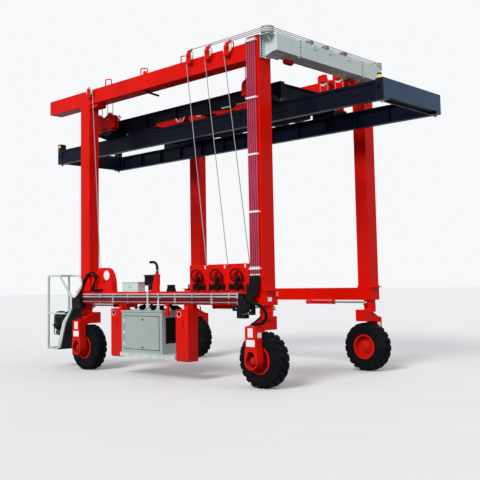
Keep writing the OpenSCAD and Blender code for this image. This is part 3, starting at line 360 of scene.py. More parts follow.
class Shape:
    """Gathers forms into one mesh."""

    def __init__(self):
        self.points, self.faces = [], []

    def add(self, points, faces):
        base = len(self.points)
        self.points += [Vector(p) for p in points]
        self.faces += [[base + i for i in face] for face in faces]

    def box(self, lo, hi, edge=0.004):
        """A box with chamfered edges."""
        edge = min([edge] + [0.45 * abs(hi[i] - lo[i]) for i in range(3)])
        corners = list(itertools.product((0, 1), repeat=3))
        at, points, faces = {}, [], []
        for c in corners:
            for a in range(3):
                inset = [0 if i == a else edge for i in range(3)]
                at[c, a] = len(points)
                points.append([hi[i] - inset[i] if c[i] else lo[i] + inset[i] for i in range(3)])
        for a in range(3):
            b, k = (a + 1) % 3, (a + 2) % 3

            def corner(s, t, u):
                c = [0, 0, 0]
                c[a], c[b], c[k] = s, t, u
                return tuple(c)

            for s in (0, 1):
                faces.append([at[corner(s, t, u), a] for t, u in ((0, 0), (1, 0), (1, 1), (0, 1))])
                for t in (0, 1):
                    faces.append([at[corner(s, t, 0), a], at[corner(s, t, 1), a],
                                  at[corner(s, t, 1), b], at[corner(s, t, 0), b]])
        faces += [[at[c, 0], at[c, 1], at[c, 2]] for c in corners]
        self.add(points, faces)

    def turn(self, outline, at, axis, n=24, closed=False):
        """Radius and height pairs turned about an axis."""
        axis = Vector(axis).normalized()
        u = axis.orthogonal().normalized()
        plane = (u, axis.cross(u))
        points, faces, rings = [], [], []
        for r, h in outline:
            base = len(points)
            centre = Vector(at) + axis * h
            if r < 1e-6:
                rings.append([base] * n)
                points.append(centre)
            else:
                rings.append(list(range(base, base + n)))
                points += around(centre, r, angles(n), plane)
        pairs = list(zip(rings, rings[1:])) + ([(rings[-1], rings[0])] if closed else [])
        for a, b in pairs:
            for k in range(n):
                j = (k + 1) % n
                face = [a[k], a[j], b[j], b[k]]
                faces.append([q for i, q in enumerate(face) if q != face[i - 1]])
        self.add(points, [f for f in faces if len(f) > 2])

    def cap(self, at, axis, side, top, n=24):
        """A round cap, from the radius and height of its side and of its top."""
        self.turn([(side[0], 0), side, top, (0, top[1])], at, axis, n)

    def disc(self, at, axis, r, h, n=24):
        self.turn([(r, 0), (r, h), (0, h)], at, axis, n)

    def collar(self, at, axis, inner, outer, half, n=24):
        self.turn([(inner, -half), (outer, -half), (outer, half), (inner, half)], at, axis, n)

    def tube(self, path, r, n=8):
        """A round tube along a path."""
        path = [Vector(p) for p in path]
        u = None
        points, faces = [], []
        for i, p in enumerate(path):
            ahead = (path[min(i + 1, len(path) - 1)] - path[max(i - 1, 0)]).normalized()
            u = ahead.orthogonal() if u is None else u - ahead * u.dot(ahead)
            u.normalize()
            points += around(p, r, angles(n), (u, ahead.cross(u)))
        for i in range(len(path) - 1):
            for k in range(n):
                j = (k + 1) % n
                faces.append([i * n + k, i * n + j, (i + 1) * n + j, (i + 1) * n + k])
        faces.append(list(range(n)))
        faces.append([(len(path) - 1) * n + k for k in range(n)])
        self.add(points, faces)

    def hose(self, points, r, n=10):
        """A tube along a smooth line through points."""
        self.tube(spline(points), r, n)

    def bolt(self, at, axis, size):
        """A hexagon head on its washer."""
        self.disc(at, axis, 1.15 * size, 0.16 * size, 14)
        self.turn([(0.95 * size, 0.1 * size), (0.95 * size, 0.66 * size), (0.8 * size, 0.78 * size),
                   (0, 0.78 * size)], at, axis, 6)

    def bolts(self, points, axis, size):
        for p in points:
            self.bolt(p, axis, size)

    def prism(self, outline, axis, lo, hi):
        """An outline given depth along an axis: its pairs are the other two coordinates, in order."""
        others = [i for i in range(3) if i != axis]
        points = []
        for depth in (lo, hi):
            for pair in outline:
                p = [0, 0, 0]
                p[axis], p[others[0]], p[others[1]] = depth, pair[0], pair[1]
                points.append(p)
        n = len(outline)
        faces = [list(range(n)), list(range(n, 2 * n))]
        faces += [[k, (k + 1) % n, n + (k + 1) % n, n + k] for k in range(n)]
        self.add(points, faces)

    def weld(self, path, r=0.006):
        """A bead of weld."""
        path = [Vector(p) for p in path]
        run = []
        for a, b in zip(path, path[1:]):
            steps = max(2, int((b - a).length / 0.05))
            run += [a.lerp(b, k / steps) for k in range(steps)]
        self.tube(run + [path[-1]], r, 6)


def make(name, shape, material, body="gantry", sharp=35):
    """The mesh piece, riding on a body."""
    mesh = bpy.data.meshes.new(name)
    mesh.from_pydata(shape.points, [], shape.faces)
    bm = bmesh.new()
    bm.from_mesh(mesh)
    bmesh.ops.recalc_face_normals(bm, faces=bm.faces)
    bm.to_mesh(mesh)
    bm.free()
    mesh.shade_smooth()
    mesh.set_sharp_from_angle(angle=math.radians(sharp))
    mesh.materials.append(MATS[material])
    piece = bpy.data.objects.new(name, mesh)
    scene.collection.objects.link(piece)
    if body:
        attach(piece, body)
    return piece


# Hose bundle from the pipes' end to the near right wheel, along the source's points
HOSE = [(2.8, -2.31, 1.96), (2.88, -2.325, 1.962), (2.98, -2.37, 1.955), (3.1, -2.41, 1.94),
        (3.24, -2.425, 1.915), (3.38, -2.43, 1.885), (3.51, -2.43, 1.845), (3.62, -2.43, 1.785),
        (3.685, -2.43, 1.7), (3.705, -2.43, 1.6), (3.67, -2.43, 1.515), (3.59, -2.43, 1.46),
        (3.49, -2.43, 1.435), (3.39, -2.43, 1.43), (3.29, -2.43, 1.43)]
HOSE_R = 0.036


def hose_bundle():
    path = spline(HOSE)
    shape = Shape()
    shape.tube(path, HOSE_R, 20)
    piece = make("hose_sleeve", shape, "hose", sharp=60)
    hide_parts("hose_bundle")


hose_bundle()

# Frames: the outer face of legs and beams, the middle of the sill pipes, and the line of the hoops
FACE_Y, PIPE_Y, BEAM_Y = 2.281, -2.29, 2.1
BEAM_UNDER, BEAM_TOP = 7.44, 7.84


def frame_bolts():
    edge, lift = 0.018, 0.025
    for name, sy in SIDES:
        leg_lo, leg_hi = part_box(f"{name}_right_leg")
        beam_lo, beam_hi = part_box(f"{name}_top_beam")
        left_lo, left_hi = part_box(f"{name}_left_leg")
        shape = Shape()
        x = beam_hi[0] - lift
        for z in (beam_lo[2] + edge, beam_hi[2] - edge):
            shape.bolts(row((x, sy * 2.245, z), (x, sy * 1.915, z), 6), (-1, 0, 0), 0.014)
        ends = (left_lo[0] + edge, left_hi[0] - edge)
        inner = sy * 1.943
        for z, up in ((left_lo[2] + lift, UP), (left_hi[2] - lift, DOWN)):
            for x in ends:
                shape.bolts(row((x, sy * 2.25, z), (x, sy * 1.99, z), 5), up, 0.013)
            shape.bolts(row((ends[0] + 0.05, inner, z), (ends[1] - 0.05, inner, z), 5), up, 0.013)
        foot = leg_lo[2] + lift
        for x in (leg_lo[0] + edge, leg_hi[0] - edge):
            shape.bolts(row((x, sy * 2.25, foot), (x, sy * 1.91, foot), 6), UP, 0.014)
        make(f"{name}_frame_bolts", shape, "red_paint")


def cross_beam_bolts():
    lo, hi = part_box("cross_beam")
    edge, flange_x = 0.015, 3.554
    shape, dots = Shape(), Shape()
    for sy in (-1, 1):
        for z in (lo[2] + edge, hi[2] - edge):
            for y, way in ((1.275, -sy), (1.325, sy)):
                shape.bolts(row((lo[0] + 0.06, sy * y, z), (hi[0] - 0.04, sy * y, z), 6), (0, way, 0), 0.012)
        for z in (7.468, 7.985):
            shape.bolts(row((3.54, sy * 2.08, z), (3.54, sy * 1.9, z), 4), ALONG, 0.012)
        shape.box((3.538, sy * 2.16 - 0.105, 7.42), (flange_x, sy * 2.16 + 0.105, 7.95), 0.003)
        dots.bolts(row((flange_x, sy * 2.235, 7.46), (flange_x, sy * 2.235, 7.91), 8), ALONG, 0.02)
        dots.bolts(row((3.8, sy * 1.3, 7.6), (3.8, sy * 1.3, 7.9), 4), (0, sy, 0), 0.01)
        dots.bolts(row((3.912, sy * 1.262, 7.56), (3.912, sy * 1.262, 7.92), 6), ALONG, 0.013)
    make("cross_beam_bolts", shape, "pale_paint")
    make("corner_flange_bolts", dots, "black_paint")


def frame_welds():
    """Weld beads where plates meet the beams, gussets under their ends, and the arm of the cable."""
    leg_side = -2.93
    gusset = [(leg_side, 7.44), (-2.62, 7.44), (-2.62, 7.35), (-2.66, 7.33), (leg_side, 7.33)]
    lug = [(3.45, 7.525), (3.62, 7.525), (3.6, 7.46), (3.56, 7.44), (3.49, 7.44)]
    shape, arm = Shape(), Shape()
    for sy in (-1, 1):
        out = sy * FACE_Y
        for z in (2.2, 7.415):
            shape.weld([(-3.345, out, z), (-2.935, out, z)])
        for z in (7.441, 7.839):
            shape.weld([(3.094, sy * 2.28, z), (3.094, sy * 1.88, z)])
        for x in (-3.9, -2.6, 0.1, 1.3):
            shape.weld([(x, out, 7.45), (x, out, 7.83)], 0.003)
        for z in (2.66, 4.16, 5.66, 7.16):
            shape.weld([(-3.17, out, z), (-2.96, out, z)], 0.006)
        shape.prism(gusset, 1, sy * 2.24, sy * 1.93)
        shape.prism(lug, 1, sy * 1.38, sy * 1.14)
        for z in (2.72, 4.2, 5.7, 7.0):
            shape.bolt((leg_side - 0.004, sy * 2.12, z), ALONG, 0.01)
    arm.tube([(-0.66, -BEAM_Y, 7.43), (-0.56, -BEAM_Y, 7.38), (-0.16, -BEAM_Y, 7.225)], 0.028, 10)
    arm.box((-0.72, -2.16, 7.425), (-0.58, -2.04, BEAM_UNDER), 0.003)
    make("cable_arm", arm, "black_paint")
    make("frame_welds", shape, "red_paint")


def rope_guards():
    """Bent bar hoops on the near top beam, and a small fin between them."""
    shape = Shape()
    y, sunk, foot = -BEAM_Y, BEAM_TOP - 0.01, BEAM_TOP + 0.012
    for x, w, tall in ((-2.42, 0.27, 0.246), (-0.87, 0.27, 0.246), (0.72, 0.26, 0.24), (2.32, 0.24, 0.24)):
        top = BEAM_TOP + tall
        shape.tube([(x, y, sunk), (x, y, top - 0.02), (x + 0.02, y, top), (x + w - 0.02, y, top - 0.04),
                    (x + w, y, top - 0.07), (x + w, y, sunk)], 0.016, 8)
        for end in (x, x + w):
            shape.box((end - 0.035, y - 0.035, BEAM_TOP), (end + 0.035, y + 0.035, foot))
            shape.bolts([(end - 0.02, y, foot), (end + 0.02, y, foot)], UP, 0.006)
    fin_x = -0.8
    shape.prism([(fin_x, BEAM_TOP), (fin_x + 0.2, BEAM_TOP), (fin_x + 0.14, 7.98), (fin_x + 0.05, 8.00)],
                1, y - 0.01, y + 0.01)
    make("rope_guards", shape, "red_paint")


def bracket_bolts():
    """Pin caps and bolts of the lead sheaves and of the corner stacks."""
    red, white = Shape(), Shape()
    for i in (1, 2, 3):
        x, _, z = middle(f"lead_sheave_{i}")
        red.cap((x, -2.392, z), NEAR, (0.045, 0.012), (0.03, 0.018), 20)
        red.bolts(around((x, -2.384, z), 0.05, (0.6, 2.5, 4.2, 5.4)), NEAR, 0.007)
        red.bolts([(x - 0.055, -2.308, z - 0.17), (x + 0.055, -2.308, z - 0.17)], NEAR, 0.008)
        red.prism([(x + 0.02, z + 0.07), (x + 0.16, z + 0.11), (x + 0.16, z + 0.135), (x - 0.04, z + 0.1)],
                  1, -2.4, -2.372)
    corner_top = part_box("near_corner_beam")[1][2] - 0.017
    for sy in (-1, 1):
        red.cap((3.72, sy * 2.2, corner_top), UP, (0.022, 0.012), (0.012, 0.02), 6)
        white.cap((3.33, sy * 2.13, 7.96), UP, (0.1, 0.01), (0.09, 0.014), 28)
        white.bolts(around((3.33, sy * 2.13, 7.974), 0.07, angles(6), FLAT), UP, 0.006)
    make("bracket_bolts", red, "red_paint")
    make("leg_top_covers", white, "zinc")


frame_bolts()
cross_beam_bolts()
frame_welds()
rope_guards()
bracket_bolts()


# Pipes: couplings, clamp bolts and the hoses from the leg pipes
def pipe_fittings():
    shape, black = Shape(), Shape()
    lo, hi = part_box("leg_pipes")
    y, foot, top = -2.32, lo[2], hi[2]
    for i in range(5):
        x = 3.185 + 0.06 * i
        for z in (top - 0.03, foot + 0.12):
            shape.collar((x, y, z), UP, 0.02, 0.027, 0.03, 6)
        shape.turn([(0.024, 0), (0.028, 0.02), (0.028, 0.06), (0.018, 0.08)], (x, y, foot - 0.02), DOWN, 12)
        drop = 0.05 * (i % 2)
        black.hose([(x, y, foot - 0.05), (x, y - 0.005, foot - 0.28), (x - 0.05, y - 0.01, 2.16 + drop),
                    (x - 0.22, y - 0.01, 1.99 + 0.02 * i), (2.84, -2.3, 1.9 + 0.045 * i)], 0.021)
    for z in (top - 0.05, 6.52, 5.22, 3.92, foot + 0.1):
        shape.bolts([(3.155, -2.352, z), (3.455, -2.352, z)], NEAR, 0.008)
    for x in (-2.41, -1.2, 0.0, 1.25, 2.48):
        shape.bolts([(x, -2.322, 1.872), (x, -2.322, 2.105)], NEAR, 0.009)
    for i in range(4):
        z = 1.89 + 0.065 * i
        for x in (-1.85, 0.62, 1.9):
            shape.collar((x, PIPE_Y, z), ALONG, 0.02, 0.028, 0.035, 6)
        black.hose([(-3.2, PIPE_Y, z), (-3.27, -2.292, z), (-3.31, -2.275, z + 0.05 * (i + 1)),
                    (-3.31, PIPE_Y, 2.35 + 0.03 * i)], 0.019)
    make("pipe_fittings", shape, "zinc")
    make("pipe_hoses", black, "hose")


def hose_fittings():
    """The valve block under the sill with the hose ends on it."""
    black, steel = Shape(), Shape()
    top = 1.83
    black.box((3.00, -2.34, 1.62), (3.22, -2.22, top), 0.01)
    black.box((2.74, -2.35, 1.54), (3.02, -2.22, top), 0.01)
    black.box((2.56, -2.3, 1.7), (2.74, -2.22, top), 0.008)
    for k in range(5):
        z = 1.88 + 0.05 * k
        black.hose([(2.8, -2.325, z), (2.9, -2.36, z - 0.01), (3.02, -2.385, z - 0.1 - 0.02 * k),
                    (3.06, -2.385, 1.76), (3.00 - 0.03 * k, -2.36, 1.66)], 0.024)
    for k in range(5):
        x = 3.18 + 0.062 * k
        black.hose([(x, -2.33, 2.5), (x - 0.01, -2.345, 2.32), (x - 0.06, -2.37, 2.12),
                    (3.1 + 0.035 * k, -2.385, 1.94), (3.05 + 0.03 * k, -2.385, 1.78)], 0.027)
    for k, (x, z) in enumerate(((2.97, 1.66), (3.04, 1.66), (3.11, 1.66), (3.17, 1.72))):
        steel.turn([(0.03, 0), (0.03, 0.03), (0.018, 0.04), (0.018, 0.07)], (x, -2.34, z), NEAR, 6)
        black.hose([(x, -2.39, z), (x - 0.01, -2.43, z + 0.05), (x - 0.06, -2.42, z + 0.16),
                    (x - 0.14, -2.37, 1.93 - 0.02 * k)], 0.02)
    for x in (2.7, 2.8, 2.88):
        steel.cap((x, -2.3, 1.76), NEAR, (0.022, 0.02), (0.015, 0.03), 8)
    make("valve_block", black, "black_paint")
    make("valve_fittings", steel, "steel")


pipe_fittings()
hose_fittings()

# Engine enclosure, tanks and the equipment on the sill
ENGINE_LO, ENGINE_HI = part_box("engine_enclosure")
ENGINE_TOP = 1.68


def engine_door():
    x0, y0, x1 = ENGINE_LO[0], ENGINE_LO[1], ENGINE_HI[0]
    left, right, low, high = x0 + 0.118, x1 - 0.125, 0.708, ENGINE_TOP - 0.138
    face = y0 + 0.009
    pale, black = Shape(), Shape()
    corners = [(left, low), (right, low), (right, high), (left, high), (left, low)]
    for a, b in zip(corners, corners[1:]):
        black.tube([(a[0], face - 0.001, a[1]), (b[0], face - 0.001, b[1])], 0.005, 6)
    for z in (0.76, 1.452):
        black.cap((-0.415, face, z), NEAR, (0.026, 0.004), (0.02, 0.006), 20)
        black.box((-0.421, face - 0.009, z - 0.016), (-0.409, face - 0.004, z + 0.016), 0.002)
    for z in (0.83, 1.12, 1.42):
        pale.turn([(0.012, -0.045), (0.012, 0.045)], (left - 0.006, face + 0.003, z), UP, 12)
        pale.box((left - 0.03, face - 0.004, z - 0.035), (left + 0.03, face + 0.002, z + 0.035), 0.002)
    for z in (0.64, 1.62):
        pale.bolts([(x, y0 + 0.015, z) for x in (x0 + 0.05, x0 + 0.6, x0 + 1.1, x1 - 0.05)], NEAR, 0.007)
    for z in (0.7, 1.6):
        pale.bolts([(x1 - 0.015, y, z) for y in (-2.4, -2.15, -1.85)], ALONG, 0.007)
    make("engine_door_seals", black, "black_paint")
    make("engine_hinges", pale, "pale_paint")


def lifting_chains():
    """Two short chains from the sill to the lid, each with a ring and two legs, and plates on the lid."""
    white = Shape()
    y, pitch = -2.372, 0.042
    plate_top = ENGINE_TOP + 0.008
    for x in (-0.546, -0.206, 0.232):
        white.box((x - 0.075, -2.17, ENGINE_TOP), (x + 0.075, -2.115, plate_top), 0.003)
        white.bolts([(x - 0.065, -2.142, plate_top), (x + 0.065, -2.142, plate_top)], UP, 0.007)
    for x, low, high in ((-0.34, 1.8, 2.15), (0.07, 1.77, 1.97)):
        for k in range(int((high - low) / pitch)):
            z = low + pitch * (k + 0.5)
            plane = (ALONG if k % 2 else (0, 1, 0), UP)
            link = arc((x, y, z + 0.012), 0.019, 0, 180, 6, plane)
            link += arc((x, y, z - 0.012), 0.019, 180, 360, 6, plane)
            white.tube(link + [link[0]], 0.0085, 6)
        white.tube([(x, y, high - 0.02), (x, y, high + 0.012), (x, -2.26, high + 0.03)], 0.01, 8)
        white.tube(arc((x - 0.01, -2.365, low), 0.036, 0, 360, 16), 0.011, 8)
        for dx in (-0.16, 0.0):
            white.tube([(x - 0.01, -2.365, low - 0.02), (x + dx, -2.32, ENGINE_TOP + 0.004)], 0.016, 8)
    white.tube([(-0.78, -2.33, 1.8), (-0.755, -2.32, ENGINE_TOP + 0.002)], 0.012, 8)
    make("lifting_chains", white, "white_plate")


def radiator_core():
    """The dark core behind the louvres in the right end, with its fins and the bars before them."""
    x = ENGINE_HI[0]
    dark = Shape()
    dark.box((x - 0.074, -2.352, 0.88), (x - 0.07, -1.876, 1.5), 0.001)
    for k in range(30):
        z = 0.89 + 0.02 * k
        dark.tube([(x - 0.068, -2.35, z), (x - 0.068, -1.878, z)], 0.003, 5)
    for k in range(9):
        y = -2.345 + 0.058 * k
        dark.box((x - 0.019, y - 0.012, 0.872), (x - 0.013, y + 0.012, 1.508), 0.002)
    make("radiator_core", dark, "black_paint")


def engine_lid():
    """Hoses, filters and boxes on the enclosure's lid, under the sill; the black filters and boxes also stand
    in as painted shade for the dark gap under the sill.
    """
    pipes, upper = Shape(), Shape()
    for k in range(5):
        y, sag = -2.04 + 0.05 * k, 0.015 * (k % 2)
        pipes.hose([(-1.24, y, 1.72), (-0.9, y, 1.755 - sag), (-0.4, y + 0.02, 1.745 + sag),
                    (0.1, y, 1.76 - sag), (0.32, y + 0.02, 1.71)], 0.026)
    for x, y in ((-1.0, -2.0), (-0.72, -1.98), (0.05, -2.0)):
        pipes.hose([(x, y, 1.67), (x, y, 1.73), (x + 0.05, y, 1.79), (x + 0.1, y, 1.81)], 0.026, 12)
    make("engine_hoses", pipes, "hose")
    # Black filters and boxes: partly engine parts, partly painted shade that fills the gap under the sill.
    for x, length in ((-1.14, 0.44), (-0.02, 0.32)):
        upper.turn([(0, 0), (0.045, 0), (0.06, 0.012), (0.06, length - 0.012), (0.045, length), (0, length)],
                   (x, -1.93, 1.742), ALONG, 28)
    upper.box((-0.66, -2.06, 1.675), (-0.06, -1.86, 1.798), 0.02)
    upper.box((-1.2, -1.92, 1.675), (0.32, -1.85, 1.77), 0.012)
    make("engine_top", upper, "black_paint")


def filter_canister():
    can, knob = Shape(), Shape()
    x = 0.425
    can.turn([(0.045, 0), (0.058, 0.01), (0.058, 0.23), (0.05, 0.245), (0.062, 0.25), (0.062, 0.29),
              (0, 0.29)], (x, -2.38, 1.55), UP)
    can.box((x - 0.055, -2.42, 1.835), (x + 0.06, -2.26, 1.86), 0.004)
    knob.turn([(0.034, -0.02), (0.038, 0.012), (0.03, 0.03), (0, 0.034)], (x, -2.435, 1.767), NEAR, 16)
    make("filter", can, "red_paint")
    make("filter_knob", knob, "white_plate")


def tank_trim():
    """Rimmed pockets with their gauges and painted shade at their backs, filler caps, welds and drain plugs
    on both tanks.
    """
    white, red, black = Shape(), Shape(), Shape()
    lo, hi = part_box("side_tanks")
    front, width = lo[1], 0.44
    for x in (lo[0], hi[0] - width):
        cx, cz, r = x + 0.12, 1.6, 0.062
        rim = arc((cx, front - 0.002, cz), r, 180, 360, 14)
        rim += [Vector((cx + s * r, front - 0.002, cz + r)) for s in (1, -1)]
        white.tube(rim + [rim[0]], 0.009, 8)
        white.cap((cx, front + 0.088, cz), NEAR, (0.03, 0.03), (0.022, 0.04), 8)
        red.turn([(0.048, 0), (0.055, 0.012), (0.055, 0.035), (0.048, 0.045), (0, 0.045)],
                 (x + 0.33, front + 0.11, 1.765), UP, 20)
        # A black disc and sheet at the back of each pocket: painted shade for the pocket's dark inside.
        black.turn([(0.054, 0), (0, 0.001)], (cx, front + 0.075, cz), NEAR, 24)
        black.box((cx - 0.056, front + 0.07, cz), (cx + 0.056, front + 0.075, cz + 0.06), 0.001)
        for z in (0.53, 1.68):
            red.weld([(x + 0.02, front - 0.001, z), (x + width - 0.02, front - 0.001, z)], 0.004)
        red.cap((x + 0.36, front, 0.52), NEAR, (0.028, 0.015), (0.016, 0.02), 6)
        black.box((x + 0.24, front - 0.004, 1.28), (x + 0.27, front + 0.002, 1.46), 0.003)
    make("tank_pockets", white, "zinc")
    make("tank_caps", red, "red_paint")
    make("tank_gauges_and_pocket_shade", black, "black_paint")


def skid_trim():
    lo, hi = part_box("engine_skid")
    shape = Shape()
    front, end = lo[1], hi[0] - 0.36
    shape.bolts(row((lo[0] + 0.12, front, 0.56), (hi[0] - 0.38, front, 0.56), 12), NEAR, 0.01)
    shape.box((lo[0] + 0.02, front - 0.009, hi[2] - 0.02), (end, front + 0.01, hi[2] - 0.002), 0.003)
    shape.box((lo[0] + 0.02, front - 0.01, lo[2]), (end, front + 0.01, lo[2] + 0.018), 0.003)
    make("skid_edge", shape, "pale_paint")


def sill_kit():
    """Doors of the pale cabinet, the display with its hood, the exhaust's clamps and the breather's cover."""
    pale, black, glass, steel = Shape(), Shape(), Shape(), Shape()
    front = -2.19
    for x, lock in ((-1.575, -1.295), (-1.26, -1.235)):
        pale.box((x, front - 0.008, 2.17), (x + 0.305, front + 0.004, 2.375), 0.004)
        steel.disc((lock, front - 0.008, 2.28), NEAR, 0.014, 0.008, 14)
    front = -2.12
    black.box((-0.769, front - 0.03, 2.56), (-0.299, front + 0.16, 2.585), 0.006)
    black.box((-0.748, front - 0.012, 2.35), (-0.32, front + 0.002, 2.56), 0.006)
    glass.box((-0.725, front - 0.016, 2.37), (-0.343, front - 0.01, 2.54), 0.003)
    for k in range(4):
        steel.disc((-0.69 + 0.09 * k, front, 2.33), NEAR, 0.01, 0.008, 12)
    for z in (2.6, 2.69):
        steel.collar((-0.375, -2.01, z), UP, 0.035, 0.042, 0.012, 20)
    black.turn([(0.09, 0), (0.105, 0.02), (0.105, 0.04), (0.08, 0.055), (0, 0.055)],
               (0.287, -2.125, 2.265), UP, 28)
    make("cabinet_doors", pale, "pale_paint")
    make("display_hood", black, "black_paint")
    make("display_glass", glass, "screen")
    make("sill_kit_fittings", steel, "steel")


engine_door()
lifting_chains()
radiator_core()
engine_lid()
filter_canister()
tank_trim()
skid_trim()
sill_kit()

# Winches: hydraulic motors, hoses, rope on the drums and bolts
WINCH_FACE = -2.25


def winch_motor(motor, x, z):
    """A hydraulic motor on its drum's axis, with the two hoses that loop over it."""
    face = WINCH_FACE - 0.025

    def place(points):
        return [(x + a, face + b, z + c) for a, b, c in points]

    motor.turn([(0.062, 0), (0.062, 0.05), (0.05, 0.06), (0.05, 0.1), (0.03, 0.11), (0, 0.11)],
               (x, face, z), NEAR, 24)
    motor.hose(place([(-0.02, -0.05, -0.1), (-0.14, -0.07, -0.02), (-0.17, -0.07, 0.13),
                      (-0.04, -0.07, 0.21), (0.12, -0.06, 0.15), (0.16, -0.05, -0.02),
                      (0.06, -0.05, -0.18), (-0.08, -0.03, -0.27)]), 0.02)
    motor.hose(place([(0.02, -0.05, -0.1), (0.13, -0.05, -0.12), (0.2, -0.04, -0.2),
                      (0.18, -0.02, -0.27)]), 0.017)


def drum_rope(i, x, z):
    """The turns of rope on a drum."""
    rope_r, drum_r, pitch, turns = 0.009, 0.132, 0.036, 8
    shape = Shape()
    for k in range(turns):
        outline = [(drum_r + rope_r * math.cos(t), rope_r * math.sin(t)) for t in angles(8)]
        shape.turn(outline, (x, -2.177 + pitch * k, z), (0, 1, 0), 40, True)
    make(f"drum_rope_{i}", shape, "rope", f"winch_drum_{i}")


def winch_trim():
    red, black, white, motor = Shape(), Shape(), Shape(), Shape()
    tab_top = 2.76
    for i in (1, 2, 3):
        x, _, z = middle(f"winch_drum_{i}")
        winch_motor(motor, x, z)
        black.box((x - 0.045, -2.355, z - 0.13), (x + 0.045, -2.28, z - 0.04), 0.008)
        open_sides = [t for t in angles(8, 0.39) if abs(math.cos(t)) > 0.3]
        red.bolts(around((x, WINCH_FACE, z), 0.1, open_sides), NEAR, 0.008)
        white.box((x + 0.19, WINCH_FACE - 0.012, tab_top - 0.08), (x + 0.225, WINCH_FACE, tab_top), 0.002)
        red.bolts([(x - 0.25, WINCH_FACE, z + dz) for dz in (-0.12, 0.05, 0.2)], NEAR, 0.009)
        drum_rope(i, x, z)
    for k in range(4):
        y, z = -2.262 + 0.012 * (k % 2), 2.2 + 0.035 * k
        black.tube([(1.05, y, z), (3.06, y, z)], 0.015, 8)
    for x in (1.2, 1.75, 2.4, 2.95):
        red.box((x - 0.045, -2.29, 2.16), (x + 0.045, -2.255, 2.345), 0.004)
    red.weld([(1.12, -2.252, 2.152), (3.07, -2.252, 2.152)], 0.006)
    make("winch_bolts", red, "red_paint")
    make("winch_pipes", black, "hose")
    make("winch_motors", motor, "winch_hose")
    make("winch_tabs", white, "white_plate")


def foot_housing_trim():
    """Bolts round the housing, its pin cap, the pale sheave behind its ring, and the hoses in front."""
    shape, white, dark = Shape(), Shape(), Shape()
    sheave, r = (-2.19, WINCH_FACE, 2.6), 0.136
    for x, z in ((-2.9, 2.22), (-2.9, 2.5), (-2.72, 2.62), (-2.58, 2.71), (-2.42, 2.775), (-2.25, 2.76),
                 (-2.03, 2.5), (-2.00, 2.3), (-2.35, 2.2), (-2.65, 2.2)):
        shape.bolt((x, WINCH_FACE, z), NEAR, 0.009)
    shape.turn([(0.075, 0), (0.075, 0.012), (0.045, 0.022), (0.045, 0.03), (0, 0.03)],
               (-2.34, -2.27, 2.48), NEAR, 28)
    shape.bolts(around((-2.34, -2.282, 2.48), 0.055, angles(6)), NEAR, 0.006)
    shape.tube(arc((sheave[0], WINCH_FACE - 0.004, sheave[2]), r + 0.006, 0, 360, 36), 0.012, 8)
    white.turn([(r, 0), (r, 0.006), (0.06, 0.009), (0.055, 0.014), (0, 0.014)], sheave, NEAR, 40)
    make("foot_sheave_cover", white, "white_plate")
    dark.hose([(-2.9, -2.335, 2.56), (-2.82, -2.35, 2.68), (-2.66, -2.35, 2.68), (-2.52, -2.34, 2.58),
               (-2.62, -2.34, 2.42), (-2.7, -2.33, 2.24), (-2.72, -2.33, 2.17)], 0.026)
    dark.hose([(-2.86, -2.31, 2.6), (-2.74, -2.32, 2.62), (-2.62, -2.32, 2.52), (-2.72, -2.31, 2.36),
               (-2.82, -2.31, 2.19)], 0.02)
    dark.box((-2.76, -2.32, 2.175), (-2.38, -2.255, 2.235), 0.006)
    make("foot_hoses", dark, "hose")
    make("foot_housing_bolts", shape, "red_paint")


winch_trim()
foot_housing_trim()


# Wheels and yokes: where the wheel and the kingpin stand, without the signs of their side and end
WHEEL_X, KINGPIN_X, WHEEL_Y, AXLE_Z = 3.28, 3.38, 2.045, 0.62


def wheel_trim():
    for n, sx, sy in CORNERS:
        x, y, z = middle(f"{n}_rim")
        out = (0, -sy, 0)
        nuts, wall = Shape(), Shape()
        nuts.bolts(around((x, y - sy * 0.012, z), 0.215, angles(10)), out, 0.016)
        for way in (-1, 1):
            wall.turn([(0.335, 0), (0.342, 0.004), (0.35, 0)], (x, y + way * 0.189, z), (0, way, 0), 64)
            wall.turn([(0.445, 0), (0.452, 0.005), (0.459, 0)], (x, y + way * 0.1945, z), (0, way, 0), 64)
        nuts.cap((x, y - sy * 0.09, z), out, (0.11, 0.02), (0.085, 0.035), 28)
        nuts.cap((x + 0.25, y - sy * 0.02, z + 0.05), out, (0.007, 0.05), (0.004, 0.06), 10)
        make(f"{n}_wheel_nuts", nuts, "red_paint", f"{n}_wheel")
        make(f"{n}_sidewall", wall, "tyre", f"{n}_wheel")


def recess(x, y, grow):
    """The outline of the recess in a yoke's outer face: round below, and round again at its top."""
    below = arc((x, y, AXLE_Z), 0.155 + grow, 163, 377, 28)
    return below + arc((x, y, AXLE_Z + 0.1), 0.11 + grow, 0, 180, 16)


